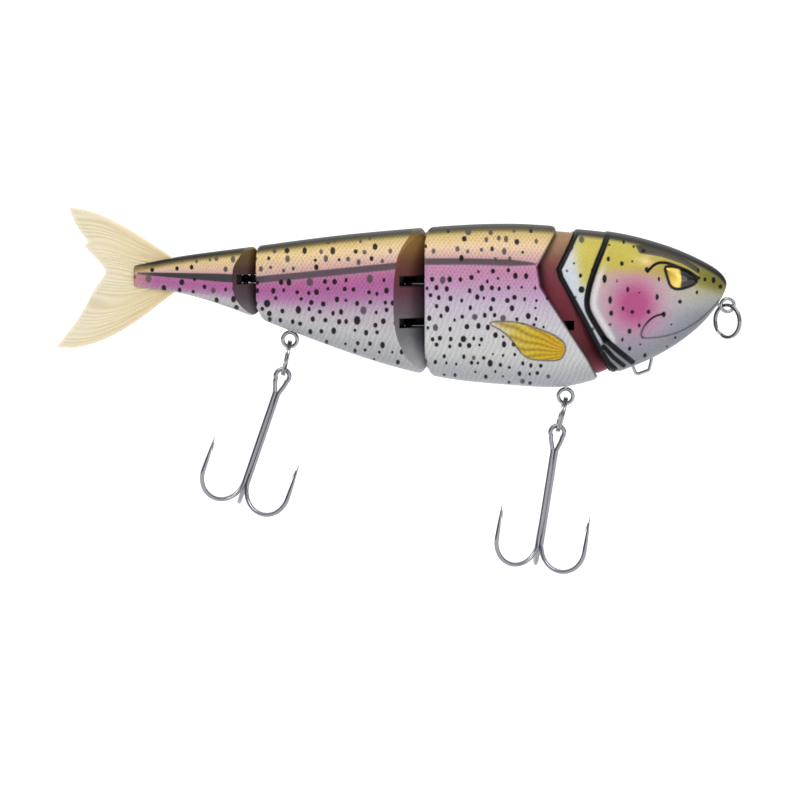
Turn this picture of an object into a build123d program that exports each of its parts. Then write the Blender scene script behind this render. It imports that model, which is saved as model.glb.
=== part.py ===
from build123d import *
import math
import os

# A jointed hard-plastic fishing lure with four body sections and a soft tail.
# Frame: origin at the centre of the nose wire eye, +X ahead of the nose, +Z up.
# The right side of the fish faces -Y. All sizes are in millimetres.

os.makedirs("parts", exist_ok=True)

# ---------------------------------------------------------------- driving sizes

# Body form: distance along X, height of the back, height of the belly, half width.
BODY_STATIONS = [
    (-168.4, 11.0, 5.1, 1.9),
    (-155.0, 13.6, 3.6, 3.2),
    (-139.0, 15.8, -1.1, 5.2),
    (-124.0, 17.8, -6.8, 7.4),
    (-108.0, 19.8, -12.8, 9.3),
    (-92.0, 21.3, -17.8, 10.6),
    (-75.0, 22.6, -21.2, 11.4),
    (-58.0, 22.9, -22.7, 11.7),
    (-45.0, 22.0, -22.8, 11.5),
    (-33.0, 20.7, -19.5, 10.7),
    (-21.0, 18.0, -14.7, 9.0),
    (-12.0, 14.8, -9.2, 7.0),
    (-6.0, 11.9, -3.8, 4.9),
    (-2.6, 9.7, 0.6, 3.0),
]
NOSE_TIP = (-0.3, 6.0)
SECTION_POWER = 2.8         # 2 is an ellipse, more is fuller
SECTION_POINTS = 20
MOULD_WALL = 1.7
SIDE = 40.0                 # half size of the cutting blocks
WHOLE_LENGTH = 260.0        # a block this long, about the middle, holds the whole lure
BODY_MIDDLE_X = -90.0

# Joints: pin place along X, pin radius, round nose radius and yaw limit.
HEAD_PIN_X = -46.5
HEAD_PIN_RADIUS = 1.0
HEAD_TONGUE_RADIUS = 10.0
HEAD_TONGUE_INSET = 1.45        # how far the tongue lies under the skin
HEAD_SWING_INSET = 1.25         # and at the ends of its swing
HEAD_MOUTH_INSET = 0.85         # the wall left round the mouth it sits in
HEAD_WEB_HALF_WIDTH = 9.0       # the tongue ahead of the pin, where it runs into the head
HEAD_WEB_FRONT_X = -24.0
HEAD_MOUTH_LENGTH = 20.0        # how far the mouth's opening flares ahead of the pin
HEAD_YAW = 20.0
MID_PIN_X = -89.7
MID_PIN_RADIUS = 0.9
MID_NOSE_RADIUS = 6.8
MID_YAW = 35.0
REAR_PIN_X = -135.6
REAR_PIN_RADIUS = 0.7
REAR_NOSE_RADIUS = 3.5
REAR_YAW = 35.0
JOINT_GAP = 0.5
PIN_GAP = 0.1

FRONT_REAR_WALL_X = -85.4
MID_REAR_WALL_X = -132.7
REAR_END_X = -167.2
MID_CREASE = (-94.0, 10.4)      # where the nose flank meets the skin: X, half width
REAR_CREASE = (-139.5, 5.3)

# Wire eyes on the joints: heights of the eyes and wire radius.
HEAD_EYE_HEIGHTS = {"upper": 8.0, "lower": -5.0}
HEAD_SLOT_DEPTH = 3.0           # how far the slots run ahead of the pin
HEAD_SLOT_MOUTH = 11.0          # and behind it
HEAD_SLOT_HALF_WIDTH = 2.3
MID_EYE_HEIGHTS = {"upper": 7.3, "lower": -4.5}
REAR_EYE_HEIGHT = 7.5
JOINT_WIRE_RADIUS = 0.55
REAR_WIRE_RADIUS = 0.5
HEAD_SHANK_END = -60.0          # where the shanks of the wire eyes end inside the sections
MID_SHANK_END = -78.6
REAR_SHANK_END = -127.0
SLOT_HALF_HEIGHT = 1.3
SLOT_REACH = 12.0               # half width of the slots that open on both sides

# Hook hangers, split rings and treble hooks.
FRONT_HANGER = (-45.5, -25.7)
REAR_HANGER = (-123.2, -9.7)
HANGER_LOOP_RADIUS = 2.05
HANGER_WIRE_RADIUS = 0.53
RING_RADIUS = 4.6
RING_RADIAL_HALF = 0.52
RING_AXIAL_HALF = 0.62
RING_SEAT = 0.72                # how far the ring wire sits below the middle of an eye
FRONT_RING_TILT = 14.0
REAR_RING_TILT = 12.0
FRONT_TREBLE_TILT = 8.8
REAR_TREBLE_TILT = 19.0
TREBLE_EYE_RADIUS = 1.95
TREBLE_WIRE_RADIUS = 0.62
TREBLE_SHANK_END = 31.6         # from the middle of the eye down to the start of the bends
TREBLE_BEND_RADIUS = 6.9
TREBLE_POINT_RISE = 10.2
TREBLE_TIP_RADIUS = 0.08
TREBLE_HOOK_ANGLES = (90.0, 210.0, 330.0)

# Nose and chin eyes.
NOSE_EYE_RADIUS = 1.85
NOSE_WIRE_RADIUS = 0.48
NOSE_RING_TURN = 45.0
CHIN_LOOP = [(-27.2, -10.5), (-26.9, -16.5), (-25.6, -19.6),
             (-22.0, -18.3), (-21.3, -15.2), (-20.9, -9.2)]
CHIN_WIRE_RADIUS = 0.45

# Soft tail.
TAIL_HINGE_X = -168.6
TAIL_HALF_THICKNESS = 0.9
TAIL_EDGE_HALF_THICKNESS = 0.45
TAIL_THINNING_X = (-170.0, -192.0)      # where the tail starts to thin and where it is thinnest
TAIL_GAP = 0.3


# ---------------------------------------------------------------- helpers

def section(station, inset):
    """Closed outline of the body at one station, drawn in by inset all round."""
    x, back, belly, half_width = station
    middle = (back + belly) / 2
    half_height = (back - belly) / 2 - inset
    points = []
    for index in range(SECTION_POINTS):
        angle = 2 * math.pi * (index + 0.5) / SECTION_POINTS
        across = math.copysign(abs(math.cos(angle)) ** (2 / SECTION_POWER), math.cos(angle))
        up = math.copysign(abs(math.sin(angle)) ** (2 / SECTION_POWER), math.sin(angle))
        points.append(Vector(x, (half_width - inset) * across, middle + half_height * up))
    return Face(Wire([Edge.make_spline(points, periodic=True)]))


def fish(inset=0.0):
    """The whole hard body as one solid, drawn in by inset."""
    kept = [station for station in BODY_STATIONS if station[3] - inset > 1.0]
    faces = [section(station, inset) for station in kept]
    if inset <= 0:
        faces.append(Vertex(NOSE_TIP[0] - inset * 0.5, 0, NOSE_TIP[1]))
    return loft(faces)


def side_region(points, radius=0.0, half_width=SIDE):
    """A region drawn in side view, X against Z, and carried right across the body."""
    if radius:
        outline = FilletPolyline(*points, radius=radius, close=True)
    else:
        outline = Polyline(*points, close=True)
    face = make_face(Plane.XZ * outline)
    return extrude(face, amount=half_width, both=True)


def plan_region(points, low=-SIDE, high=SIDE):
    """A region drawn in plan, X against Y, between two heights."""
    face = make_face(Plane.XY.offset(low) * Polyline(*points, close=True))
    return extrude(face, amount=high - low)


def post(x, radius, low, high):
    """A vertical cylinder between two heights."""
    return Pos(x, 0, (low + high) / 2) * Cylinder(radius, high - low)


def through_slot(start, end, height):
    """A slot for a wire eye between two places along X, open on both sides of the body."""
    corners = [(start, -SLOT_REACH), (start, SLOT_REACH), (end, SLOT_REACH), (end, -SLOT_REACH)]
    return plan_region(corners, height - SLOT_HALF_HEIGHT, height + SLOT_HALF_HEIGHT)


def rod(start, end, radius):
    """A round bar from one point to another."""
    line = Line(start, end)
    return extrude(Plane(origin=start, z_dir=line % 0) * Circle(radius), amount=line.length)


def bent_wire(points, bend, radius):
    """A wire bent round the points with one bend radius."""
    path = FilletPolyline(*points, radius=bend)
    start = Plane(origin=path @ 0, z_dir=path % 0)
    return sweep(start * Circle(radius), path=path)


def flared_nose(pin_x, radius, crease, turn=0.0):
    """Plan of a joint nose: a round tip about the pin and flanks back to the crease."""
    dx = crease[0] - pin_x
    reach = math.hypot(dx, crease[1])
    bearing = math.atan2(crease[1], dx)
    normal = bearing - math.acos(radius / reach)
    touch = (radius * math.cos(normal), radius * math.sin(normal))
    along = (-math.sin(normal), math.cos(normal))
    far = (touch[0] + 1.5 * SIDE * along[0], touch[1] + 1.5 * SIDE * along[1])
    wedge = plan_region([(touch[0], -touch[1]), touch, far, (-2 * SIDE, far[1]),
                         (-2 * SIDE, -far[1]), (far[0], -far[1])])
    nose = wedge + post(0, radius, -SIDE, SIDE)
    return Pos(pin_x, 0, 0) * (Rot(0, 0, turn) * nose)


def joint_eye(pin_x, pin_radius, height, wire_radius, shank_end):
    """A wire eye lying flat round a joint pin, with its shank and its anchor collar."""
    loop_radius = pin_radius + PIN_GAP + wire_radius
    loop = Pos(pin_x, 0, height) * Torus(loop_radius, wire_radius)
    side = math.copysign(1, shank_end - pin_x)
    shank = rod((pin_x + side * loop_radius, 0, height), (shank_end, 0, height), wire_radius)
    collar_x = shank_end - side * 1.1
    collar = rod((collar_x - 0.6, 0, height), (collar_x + 0.6, 0, height), wire_radius + 0.55)
    return loop + shank + collar


def hanger(center, top):
    """A hook hanger: a wire ring below the belly, with a shank and an anchor collar inside."""
    x, z = center
    loop = Pos(x, 0, z) * (Rot(90, 0, 0) * Torus(HANGER_LOOP_RADIUS, HANGER_WIRE_RADIUS))
    shank = rod((x, 0, z + HANGER_LOOP_RADIUS), (x, 0, top), HANGER_WIRE_RADIUS)
    collar = rod((x, 0, top - 1.9), (x, 0, top - 0.7), HANGER_WIRE_RADIUS + 0.6)
    return loop + shank + collar


def hinge_place(center):
    """Where the wire of a hanging ring sits in its hanger."""
    return (center[0], center[1] - RING_SEAT)


def split_ring(top, tilt, turn=0.0):
    """A split ring hung from its top point. It lies in the YZ plane before it tilts or turns."""
    outline = Pos(RING_RADIUS, 0) * Ellipse(RING_RADIAL_HALF, RING_AXIAL_HALF)
    ring = revolve(Plane.XZ * outline, axis=Axis.Z)
    ring = Rot(0, 90, 0) * ring
    ring = Pos(0, 0, -RING_RADIUS) * ring
    return Pos(top[0], 0, top[1]) * (Rot(0, 0, turn) * (Rot(0, tilt, 0) * ring))


def ring_bottom(top, tilt):
    """The lowest wire centre of a tilted split ring."""
    angle = math.radians(tilt)
    return (top[0] - 2 * RING_RADIUS * math.sin(angle), top[1] - 2 * RING_RADIUS * math.cos(angle))


def treble(eye_center, tilt):
    """A treble hook: an eye, a thick shank, and three bends with tapered points."""
    wire = TREBLE_WIRE_RADIUS
    eye = Rot(90, 0, 0) * Torus(TREBLE_EYE_RADIUS, wire)
    neck = rod((0, 0, -TREBLE_EYE_RADIUS), (0, 0, -TREBLE_EYE_RADIUS - 5.0), wire)
    hook = eye + neck
    for side in (-1, 1):
        hook += rod((side * 1.45, 0, -1.3), (side * 0.45, 0, -6.0), wire * 0.9)
    spread = wire * 0.95
    for angle in TREBLE_HOOK_ANGLES:
        start = (spread, 0, -5.6)
        bend_top = -TREBLE_SHANK_END
        shank = rod(start, (spread, 0, bend_top), wire)
        middle = Pos(spread + TREBLE_BEND_RADIUS, 0, bend_top) * Rot(90, 0, 0)
        bend = middle * Torus(TREBLE_BEND_RADIUS, wire)
        bend -= Pos(0, 0, bend_top + 20) * Box(80, 80, 40)
        tip_x = spread + 2 * TREBLE_BEND_RADIUS
        taper = Cone(wire, TREBLE_TIP_RADIUS, TREBLE_POINT_RISE)
        taper = Pos(tip_x, 0, bend_top + TREBLE_POINT_RISE / 2) * taper
        arm = shank + bend + taper
        hook += Rot(0, 0, angle) * arm
    return Pos(eye_center[0], 0, eye_center[1]) * (Rot(0, tilt, 0) * hook)


def halves(solid):
    """Split a moulding on the centre plane: the right half faces -Y, the left half +Y."""
    block = Box(WHOLE_LENGTH, SIDE, 2 * SIDE)
    left = solid & (Pos(BODY_MIDDLE_X, SIDE / 2, 0) * block)
    return mirror(left, about=Plane.XZ), left


NODES = {}


def keep(name, shape):
    NODES[name] = shape


# ---------------------------------------------------------------- shared forms

SKIN = fish()
LINING = fish(MOULD_WALL)
EYE_FACE = fish(-0.25)
EYE_SEAT = fish(1.0)

# Side view outlines. The gill plate's rear edge and the front section's edge are chevrons.
GILL_EDGE = [(-43.0, 24.0), (-43.4, 21.1), (-48.6, 10.7), (-47.9, 8.2),
             (-41.7, -3.1), (-36.4, -13.1), (-32.2, -20.5)]
HEAD_REGION = GILL_EDGE + [(-31.0, -25.0), (5.0, -25.0), (5.0, 24.0)]
FRONT_REGION = [
    (-48.0, 26.0), (-48.4, 20.6), (-53.6, 11.4), (-52.7, 5.9), (-39.3, -14.7), (-36.2, -20.6),
    (-38.0, -26.0), (FRONT_REAR_WALL_X, -26.0), (FRONT_REAR_WALL_X, 26.0),
]
TONGUE_REGION = [
    (-30.0, 21.3), (-58.0, 21.3), (-58.0, -12.6), (-40.6, -17.4), (-33.8, -20.4), (-30.0, -16.5),
]
MOUTH_REGION = [
    (-20.0, 22.0), (-60.0, 22.0), (-60.0, -13.2), (-40.9, -18.7), (-34.0, -21.4), (-20.0, -21.4),
]


# ---------------------------------------------------------------- head

def head_section():
    """The two head mouldings, with the tongue that carries the head joint pin."""
    outer = SKIN & side_region(HEAD_REGION)
    cavity_region = [(-38.5, 17.0), (-41.5, 11.5), (-41.5, 4.8), (-37.6, -2.5), (-33.5, -9.6),
                     (-17.5, -7.0), (-17.0, 11.5), (-24.0, 16.0)]
    cavity = LINING & side_region(cavity_region)
    tongue = fish(HEAD_TONGUE_INSET) & side_region(TONGUE_REGION)
    for turn in (-HEAD_YAW, HEAD_YAW):
        swung = fish(HEAD_SWING_INSET).rotate(Axis((HEAD_PIN_X, 0, 0), (0, 0, 1)), turn)
        tongue = tongue & swung
    half = HEAD_WEB_HALF_WIDTH
    front = HEAD_WEB_FRONT_X
    web = plan_region([(HEAD_PIN_X, -half), (HEAD_PIN_X, half), (front, half), (front, -half)])
    tongue = tongue & (web + post(HEAD_PIN_X, HEAD_TONGUE_RADIUS, -SIDE, SIDE))
    slots = []
    for name, height in HEAD_EYE_HEIGHTS.items():
        reach = HEAD_PIN_X + HEAD_SLOT_DEPTH
        low = height - SLOT_HALF_HEIGHT
        high = height + SLOT_HALF_HEIGHT
        if name == "lower":
            slot = through_slot(HEAD_SHANK_END, reach, height)
        else:
            rear = HEAD_PIN_X - HEAD_SLOT_MOUTH
            flare = HEAD_SLOT_MOUTH * math.tan(math.radians(HEAD_YAW)) + 1.6
            slot = plan_region([(rear, -flare), (rear, flare), (reach - 0.4, HEAD_SLOT_HALF_WIDTH),
                                (reach - 0.4, -HEAD_SLOT_HALF_WIDTH)], low, high)
        slots.append(slot)
    body = (outer - cavity) + (tongue - cavity)
    for slot in slots:
        body = body - slot
    return body


HEAD_PIN = post(HEAD_PIN_X, HEAD_PIN_RADIUS, -10.5, 16.0)
NOSE_EYE = Rot(90, 0, 0) * Torus(NOSE_EYE_RADIUS, NOSE_WIRE_RADIUS)
NOSE_EYE += rod((-NOSE_EYE_RADIUS, 0, 0), (-13.5, 0, 1.2), NOSE_WIRE_RADIUS)
NOSE_EYE += rod((-12.4, 0, 1.1), (-11.2, 0, 0.95), NOSE_WIRE_RADIUS + 0.55)
CHIN_EYE = bent_wire([(x, 0, z) for x, z in CHIN_LOOP], 0.9, CHIN_WIRE_RADIUS)
HEAD_BALLAST = rod((-31.0, 0, -6.9), (-21.6, 0, -6.0), 2.6)
EYE_OUTLINE = [(-18.6, 12.1), (-17.4, 8.4), (-16.6, 5.8), (-14.0, 5.0), (-8.2, 7.0), (-10.9, 10.1)]
EYES = (EYE_FACE - EYE_SEAT) & side_region(EYE_OUTLINE, 0.7)
EYES = EYES - (Pos(-12, 0, 8) * Box(30, 4, 30))

head_shells = head_section()
for inner_piece in (HEAD_PIN, NOSE_EYE, CHIN_EYE, HEAD_BALLAST, EYES):
    head_shells = head_shells - inner_piece
head_right, head_left = halves(head_shells)
eye_right, eye_left = halves(EYES)
keep("head_shell_right", head_right)
keep("head_shell_left", head_left)
keep("eye_right", eye_right)
keep("eye_left", eye_left)
keep("nose_line_tie", NOSE_EYE)
keep("chin_eye", CHIN_EYE)
keep("head_hinge_pin", HEAD_PIN)
keep("head_ballast", HEAD_BALLAST)
keep("line_tie_split_ring", split_ring((0, 0.05), 0, NOSE_RING_TURN))


# ---------------------------------------------------------------- front section

def front_section():
    """The two front mouldings: a mouth for the head's tongue and a socket for the mid nose."""
    outer = SKIN & side_region(FRONT_REGION)
    cavity_region = [(-60.2, 19.0), (-78.2, 19.0), (-78.2, -15.5), (-60.2, -15.5)]
    body = outer - (LINING & side_region(cavity_region))
    radius = HEAD_TONGUE_RADIUS + JOINT_GAP
    swing = math.radians(HEAD_YAW)
    mouth_half = (HEAD_WEB_HALF_WIDTH + JOINT_GAP) / math.cos(swing)
    flare = mouth_half + HEAD_MOUTH_LENGTH * math.tan(swing)
    front = HEAD_PIN_X + HEAD_MOUTH_LENGTH
    mouth_plan = plan_region([(HEAD_PIN_X, -mouth_half), (HEAD_PIN_X, mouth_half),
                              (front, flare), (front, -flare)])
    mouth_plan += post(HEAD_PIN_X, radius, -SIDE, SIDE)
    mouth = fish(HEAD_MOUTH_INSET) & mouth_plan & side_region(MOUTH_REGION)
    body = body - mouth
    for turn in (-MID_YAW, 0.0, MID_YAW):
        body = body - flared_nose(MID_PIN_X, MID_NOSE_RADIUS + JOINT_GAP, MID_CREASE, turn)
    return body


front_shells = front_section()
for name, height in HEAD_EYE_HEIGHTS.items():
    eye = joint_eye(HEAD_PIN_X, HEAD_PIN_RADIUS, height, JOINT_WIRE_RADIUS, HEAD_SHANK_END)
    front_shells = front_shells - eye
    keep("head_joint_eye_" + name, eye)
for name, height in MID_EYE_HEIGHTS.items():
    eye = joint_eye(MID_PIN_X, MID_PIN_RADIUS, height, JOINT_WIRE_RADIUS, MID_SHANK_END)
    front_shells = front_shells - eye
    keep("mid_joint_eye_" + name, eye)
FRONT_HANGER_WIRE = hanger(FRONT_HANGER, -18.2)
FRONT_BALLAST = rod((-75.5, 0, -15.5), (-60.5, 0, -15.5), 3.4)
front_shells = front_shells - FRONT_HANGER_WIRE - FRONT_BALLAST
front_right, front_left = halves(front_shells)
keep("front_shell_right", front_right)
keep("front_shell_left", front_left)
keep("front_hook_hanger", FRONT_HANGER_WIRE)
keep("front_ballast", FRONT_BALLAST)


# ---------------------------------------------------------------- mid section

def mid_section():
    """The two mid mouldings: a round nose in front and a socket for the rear nose behind."""
    region = side_region([(-80.0, 26.0), (MID_REAR_WALL_X, 26.0),
                          (MID_REAR_WALL_X, -26.0), (-80.0, -26.0)])
    outer = SKIN & region & flared_nose(MID_PIN_X, MID_NOSE_RADIUS, MID_CREASE)
    cavity_region = [(-98.5, 18.0), (-119.0, 16.0), (-119.0, -6.5), (-112.5, -9.0), (-98.5, -9.0)]
    body = outer - (LINING & side_region(cavity_region))
    for height in MID_EYE_HEIGHTS.values():
        reach = MID_PIN_X - MID_PIN_RADIUS - PIN_GAP - 2 * JOINT_WIRE_RADIUS - JOINT_GAP
        body = body - through_slot(MID_SHANK_END, reach, height)
    for turn in (-REAR_YAW, 0.0, REAR_YAW):
        body = body - flared_nose(REAR_PIN_X, REAR_NOSE_RADIUS + JOINT_GAP, REAR_CREASE, turn)
    return body


MID_PIN = post(MID_PIN_X, MID_PIN_RADIUS, -12.5, 14.5)
MID_BALLAST = rod((-111.5, 0, -9.0), (-100.5, 0, -9.0), 2.6)
REAR_EYE = joint_eye(REAR_PIN_X, REAR_PIN_RADIUS, REAR_EYE_HEIGHT, REAR_WIRE_RADIUS, REAR_SHANK_END)
REAR_HANGER_WIRE = hanger(REAR_HANGER, 0.0)
mid_shells = mid_section()
for inner_piece in (MID_PIN, MID_BALLAST, REAR_EYE, REAR_HANGER_WIRE):
    mid_shells = mid_shells - inner_piece
mid_right, mid_left = halves(mid_shells)
keep("mid_shell_right", mid_right)
keep("mid_shell_left", mid_left)
keep("mid_hinge_pin", MID_PIN)
keep("mid_ballast", MID_BALLAST)
keep("rear_joint_eye", REAR_EYE)
keep("rear_hook_hanger", REAR_HANGER_WIRE)


# ---------------------------------------------------------------- rear section and tail

TAIL_OUTLINE = [
    (-154.9, 12.2), (-156.6, 13.9), (-161.6, 17.2), (-171.2, 23.4), (-179.1, 26.9), (-185.2, 27.7),
    (-184.1, 24.5), (-179.4, 17.6), (-174.9, 10.3), (-174.8, 9.3), (-178.6, 3.9), (-181.9, -2.4),
    (-189.1, -12.0), (-183.0, -12.3), (-175.1, -9.9), (-167.2, -5.5), (-159.3, 0.8), (-155.2, 3.9),
]


def tail_plate():
    """The whole soft fin: a flat plate that thins towards its edge behind."""
    plate = side_region(TAIL_OUTLINE, 0.0, TAIL_HALF_THICKNESS)
    thick, thin = TAIL_HALF_THICKNESS, TAIL_EDGE_HALF_THICKNESS
    start, end = TAIL_THINNING_X
    taper = [(-150, -thick), (-150, thick), (start, thick), (end, thin), (end, -thin), (start, -thick)]
    return plate & plan_region(taper)


def rear_section():
    """The two rear mouldings: a round nose in front and a slot for the fin behind."""
    region = side_region([(-125.0, 26.0), (REAR_END_X, 26.0), (REAR_END_X, -26.0), (-125.0, -26.0)])
    outer = SKIN & region & flared_nose(REAR_PIN_X, REAR_NOSE_RADIUS, REAR_CREASE)
    cavity_region = [(-143.0, 13.0), (-152.0, 11.5), (-152.0, 5.5), (-143.0, 2.5)]
    body = outer - (fish(1.3) & side_region(cavity_region))
    reach = REAR_PIN_X - REAR_PIN_RADIUS - PIN_GAP - 2 * REAR_WIRE_RADIUS - JOINT_GAP
    return body - through_slot(REAR_SHANK_END, reach, REAR_EYE_HEIGHT)


TAIL = tail_plate()
HINGE_SOCKET = post(TAIL_HINGE_X, TAIL_HALF_THICKNESS + TAIL_GAP, -SIDE, SIDE)
HINGE_ROUND = post(TAIL_HINGE_X, TAIL_HALF_THICKNESS, -SIDE, SIDE)
AHEAD = Pos(TAIL_HINGE_X + SIDE, 0, 0) * Box(2 * SIDE, SIDE, 4 * SIDE)
TAIL_PIN = Pos(-161.0, 0, 8.6) * (Rot(90, 0, 0) * Cylinder(0.6, 3.6))
tail_root = (TAIL & AHEAD) - HINGE_SOCKET - TAIL_PIN
tail_blade = (TAIL - AHEAD) + (TAIL & HINGE_ROUND)
REAR_PIN = post(REAR_PIN_X, REAR_PIN_RADIUS, -0.4, 13.4)
rear_shells = rear_section() - tail_root - TAIL_PIN - REAR_PIN
rear_right, rear_left = halves(rear_shells)
keep("rear_shell_right", rear_right)
keep("rear_shell_left", rear_left)
keep("rear_hinge_pin", REAR_PIN)
keep("tail_retainer_pin", TAIL_PIN)
keep("tail_root", tail_root)
keep("tail_blade", tail_blade)


# ---------------------------------------------------------------- rings and hooks

for name, center, ring_tilt, hook_tilt in (
    ("front", FRONT_HANGER, FRONT_RING_TILT, FRONT_TREBLE_TILT),
    ("rear", REAR_HANGER, REAR_RING_TILT, REAR_TREBLE_TILT),
):
    top = hinge_place(center)
    keep(name + "_split_ring", split_ring(top, ring_tilt))
    low_x, low_z = ring_bottom(top, ring_tilt)
    lean = math.radians(hook_tilt)
    eye_drop = RING_SEAT - 0.07
    treble_eye = (low_x - eye_drop * math.sin(lean), low_z - eye_drop * math.cos(lean))
    keep(name + "_treble_hook", treble(treble_eye, hook_tilt))
    print(name, "ring hinge", top, "ring low wire", (low_x, low_z), "treble eye", treble_eye)

for name, shape in NODES.items():
    solids = shape.solids()
    print(name, len(solids), round(sum(solid.volume for solid in solids), 2))
    export_step(Compound(children=list(solids)) if len(solids) > 1 else solids[0], f"parts/{name}.step")
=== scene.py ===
import math

import bmesh
import bpy
import numpy as np
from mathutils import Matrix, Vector


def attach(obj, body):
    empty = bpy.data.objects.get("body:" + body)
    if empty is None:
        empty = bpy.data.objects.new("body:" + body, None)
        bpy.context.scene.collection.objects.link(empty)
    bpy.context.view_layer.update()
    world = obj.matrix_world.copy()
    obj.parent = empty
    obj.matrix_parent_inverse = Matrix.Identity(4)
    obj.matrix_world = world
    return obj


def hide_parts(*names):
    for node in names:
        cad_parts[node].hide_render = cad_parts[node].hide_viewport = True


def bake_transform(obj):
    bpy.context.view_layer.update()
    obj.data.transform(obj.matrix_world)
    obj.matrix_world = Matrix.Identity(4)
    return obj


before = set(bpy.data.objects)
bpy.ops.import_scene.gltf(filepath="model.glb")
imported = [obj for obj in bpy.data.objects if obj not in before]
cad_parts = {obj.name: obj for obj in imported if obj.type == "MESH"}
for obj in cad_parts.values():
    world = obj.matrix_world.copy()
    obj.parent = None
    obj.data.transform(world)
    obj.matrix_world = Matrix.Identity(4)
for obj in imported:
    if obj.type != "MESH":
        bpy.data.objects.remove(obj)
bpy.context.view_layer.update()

# A jointed trout lure. Forms are worked out in millimetres in the CAD frame: nose towards +X,
# back towards +Z, the fish's right side towards -Y. Meshes are written in metres.

MM = 0.001
scene = bpy.context.scene

# ---------------------------------------------------------------- driving sizes, as in the CAD model

# Distance along X, height of the back, height of the belly, half width.
STATIONS = np.array([
    (-168.4, 11.0, 5.1, 1.9),
    (-155.0, 13.6, 3.6, 3.2),
    (-139.0, 15.8, -1.1, 5.2),
    (-124.0, 17.8, -6.8, 7.4),
    (-108.0, 19.8, -12.8, 9.3),
    (-92.0, 21.3, -17.8, 10.6),
    (-75.0, 22.6, -21.2, 11.4),
    (-58.0, 22.9, -22.7, 11.7),
    (-45.0, 22.0, -22.8, 11.5),
    (-33.0, 20.7, -19.5, 10.7),
    (-21.0, 18.0, -14.7, 9.0),
    (-12.0, 14.8, -9.2, 7.0),
    (-6.0, 11.9, -3.8, 4.9),
    (-2.6, 9.7, 0.6, 3.0),
])
NOSE_TIP = (-0.3, 6.0)
NOSE_HEIGHT_POWER = 0.6
NOSE_WIDTH_POWER = 0.52
SECTION_POWER = 2.8
SEAM = 0.012
WIDEST = 11.7         # the skin stays inside the CAD model's width

HEAD_PIN_X = -46.5
HEAD_TONGUE_RADIUS = 10.0
HEAD_TONGUE_INSET = 1.45
HEAD_SWING_INSET = 1.25
HEAD_MOUTH_INSET = 0.85
HEAD_WEB_HALF_WIDTH = 9.0
HEAD_WEB_FRONT_X = -24.0
HEAD_MOUTH_LENGTH = 20.0
HEAD_SLOT_MOUTH = 11.0
HEAD_UPPER_SLOT_FLOOR = (-43.9, 2.3)     # its place along X and its half width
HEAD_YAW = 20.0
MID_PIN_X = -89.7
MID_NOSE_RADIUS = 6.8
REAR_PIN_X = -135.6
REAR_NOSE_RADIUS = 3.5
BODY_YAW = 35.0
JOINT_GAP = 0.5
FRONT_REAR_WALL_X = -85.4
MID_REAR_WALL_X = -132.7
REAR_END_X = -167.2
# Where each section's plain half starts or ends before its joint is cut.
HEAD_BLANK_REAR_X = -50.0
FRONT_BLANK_FRONT_X = -34.0
MID_BLANK_FRONT_X = -80.0
REAR_BLANK_FRONT_X = -128.0
MID_CREASE = (-94.0, 10.4)
REAR_CREASE = (-139.5, 5.3)
SLOT_HALF_HEIGHT = 1.3
HEAD_SLOTS = (8.0, -5.0)
MID_SLOTS = (7.3, -4.5)
REAR_SLOT = 7.5
SIDE_CUT_REACH = 20          # half width of cuts drawn in side view
PLAN_CUT_REACH = 30          # half height of cuts drawn in plan
SLIT_MOUTH = 14.0            # from the pin to a slit's open end
SLIT_HALF_WIDTH = 12.0
SEAT_HALF_ANGLE = math.radians(54)
EYE_SEAT_GAP = 0.1           # between a wire eye and the seat it turns in
# Radius of the wire eye and how far the slit reaches past the pin.
HEAD_SEAT = (2.2, 3.0)
MID_SEAT = (2.1, -2.6)
REAR_SEAT = (1.8, -2.3)
NOSE_BACK = 60.0             # how far a joint nose's flanks are carried back

HEAD_PIN_RADIUS = 1.0
MID_PIN_RADIUS = 0.9
REAR_PIN_RADIUS = 0.7
JOINT_WIRE_RADIUS = 0.55
REAR_WIRE_RADIUS = 0.5
EYE_PIN_GAP = 0.1
HEAD_SHANK_END = -60.0
MID_SHANK_END = -78.6
REAR_SHANK_END = -127.0
SHANK_HALF_HEIGHT = 1.1
SHANK_HALF_WIDTH = 0.45

TAIL_SLOT = [(-154.7, 4.1), (-154.7, 12.0), (-156.4, 14.2), (-161.6, 17.6), (-175.0, 26.0),
             (-175.0, -12.0), (-167.0, -6.0), (-159.2, 0.5)]
TAIL_SLOT_HALF_WIDTH = 0.92

GILL_EDGE = [(-43.0, 24.0), (-43.4, 21.1), (-48.6, 10.7), (-47.9, 8.2),
             (-41.7, -3.1), (-36.4, -13.1), (-32.2, -20.5)]
HEAD_REGION = GILL_EDGE + [(-31.0, -25.0), (5.0, -25.0), (5.0, 24.0)]
FRONT_EDGE = [(-48.0, 26.0), (-48.4, 20.6), (-53.6, 11.4), (-52.7, 5.9),
              (-39.3, -14.7), (-36.2, -20.6), (-38.0, -26.0)]
FRONT_REGION = FRONT_EDGE + [(FRONT_REAR_WALL_X, -26.0), (FRONT_REAR_WALL_X, 26.0)]
TONGUE_REGION = [(-30.0, 21.3), (-58.0, 21.3), (-58.0, -12.6), (-40.6, -17.4),
                 (-33.8, -20.4), (-30.0, -16.5)]
MOUTH_REGION = [(-20.0, 22.0), (-60.0, 22.0), (-60.0, -13.2), (-40.9, -18.7),
                (-34.0, -21.4), (-20.0, -21.4)]


# ---------------------------------------------------------------- the form of the fish

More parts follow.
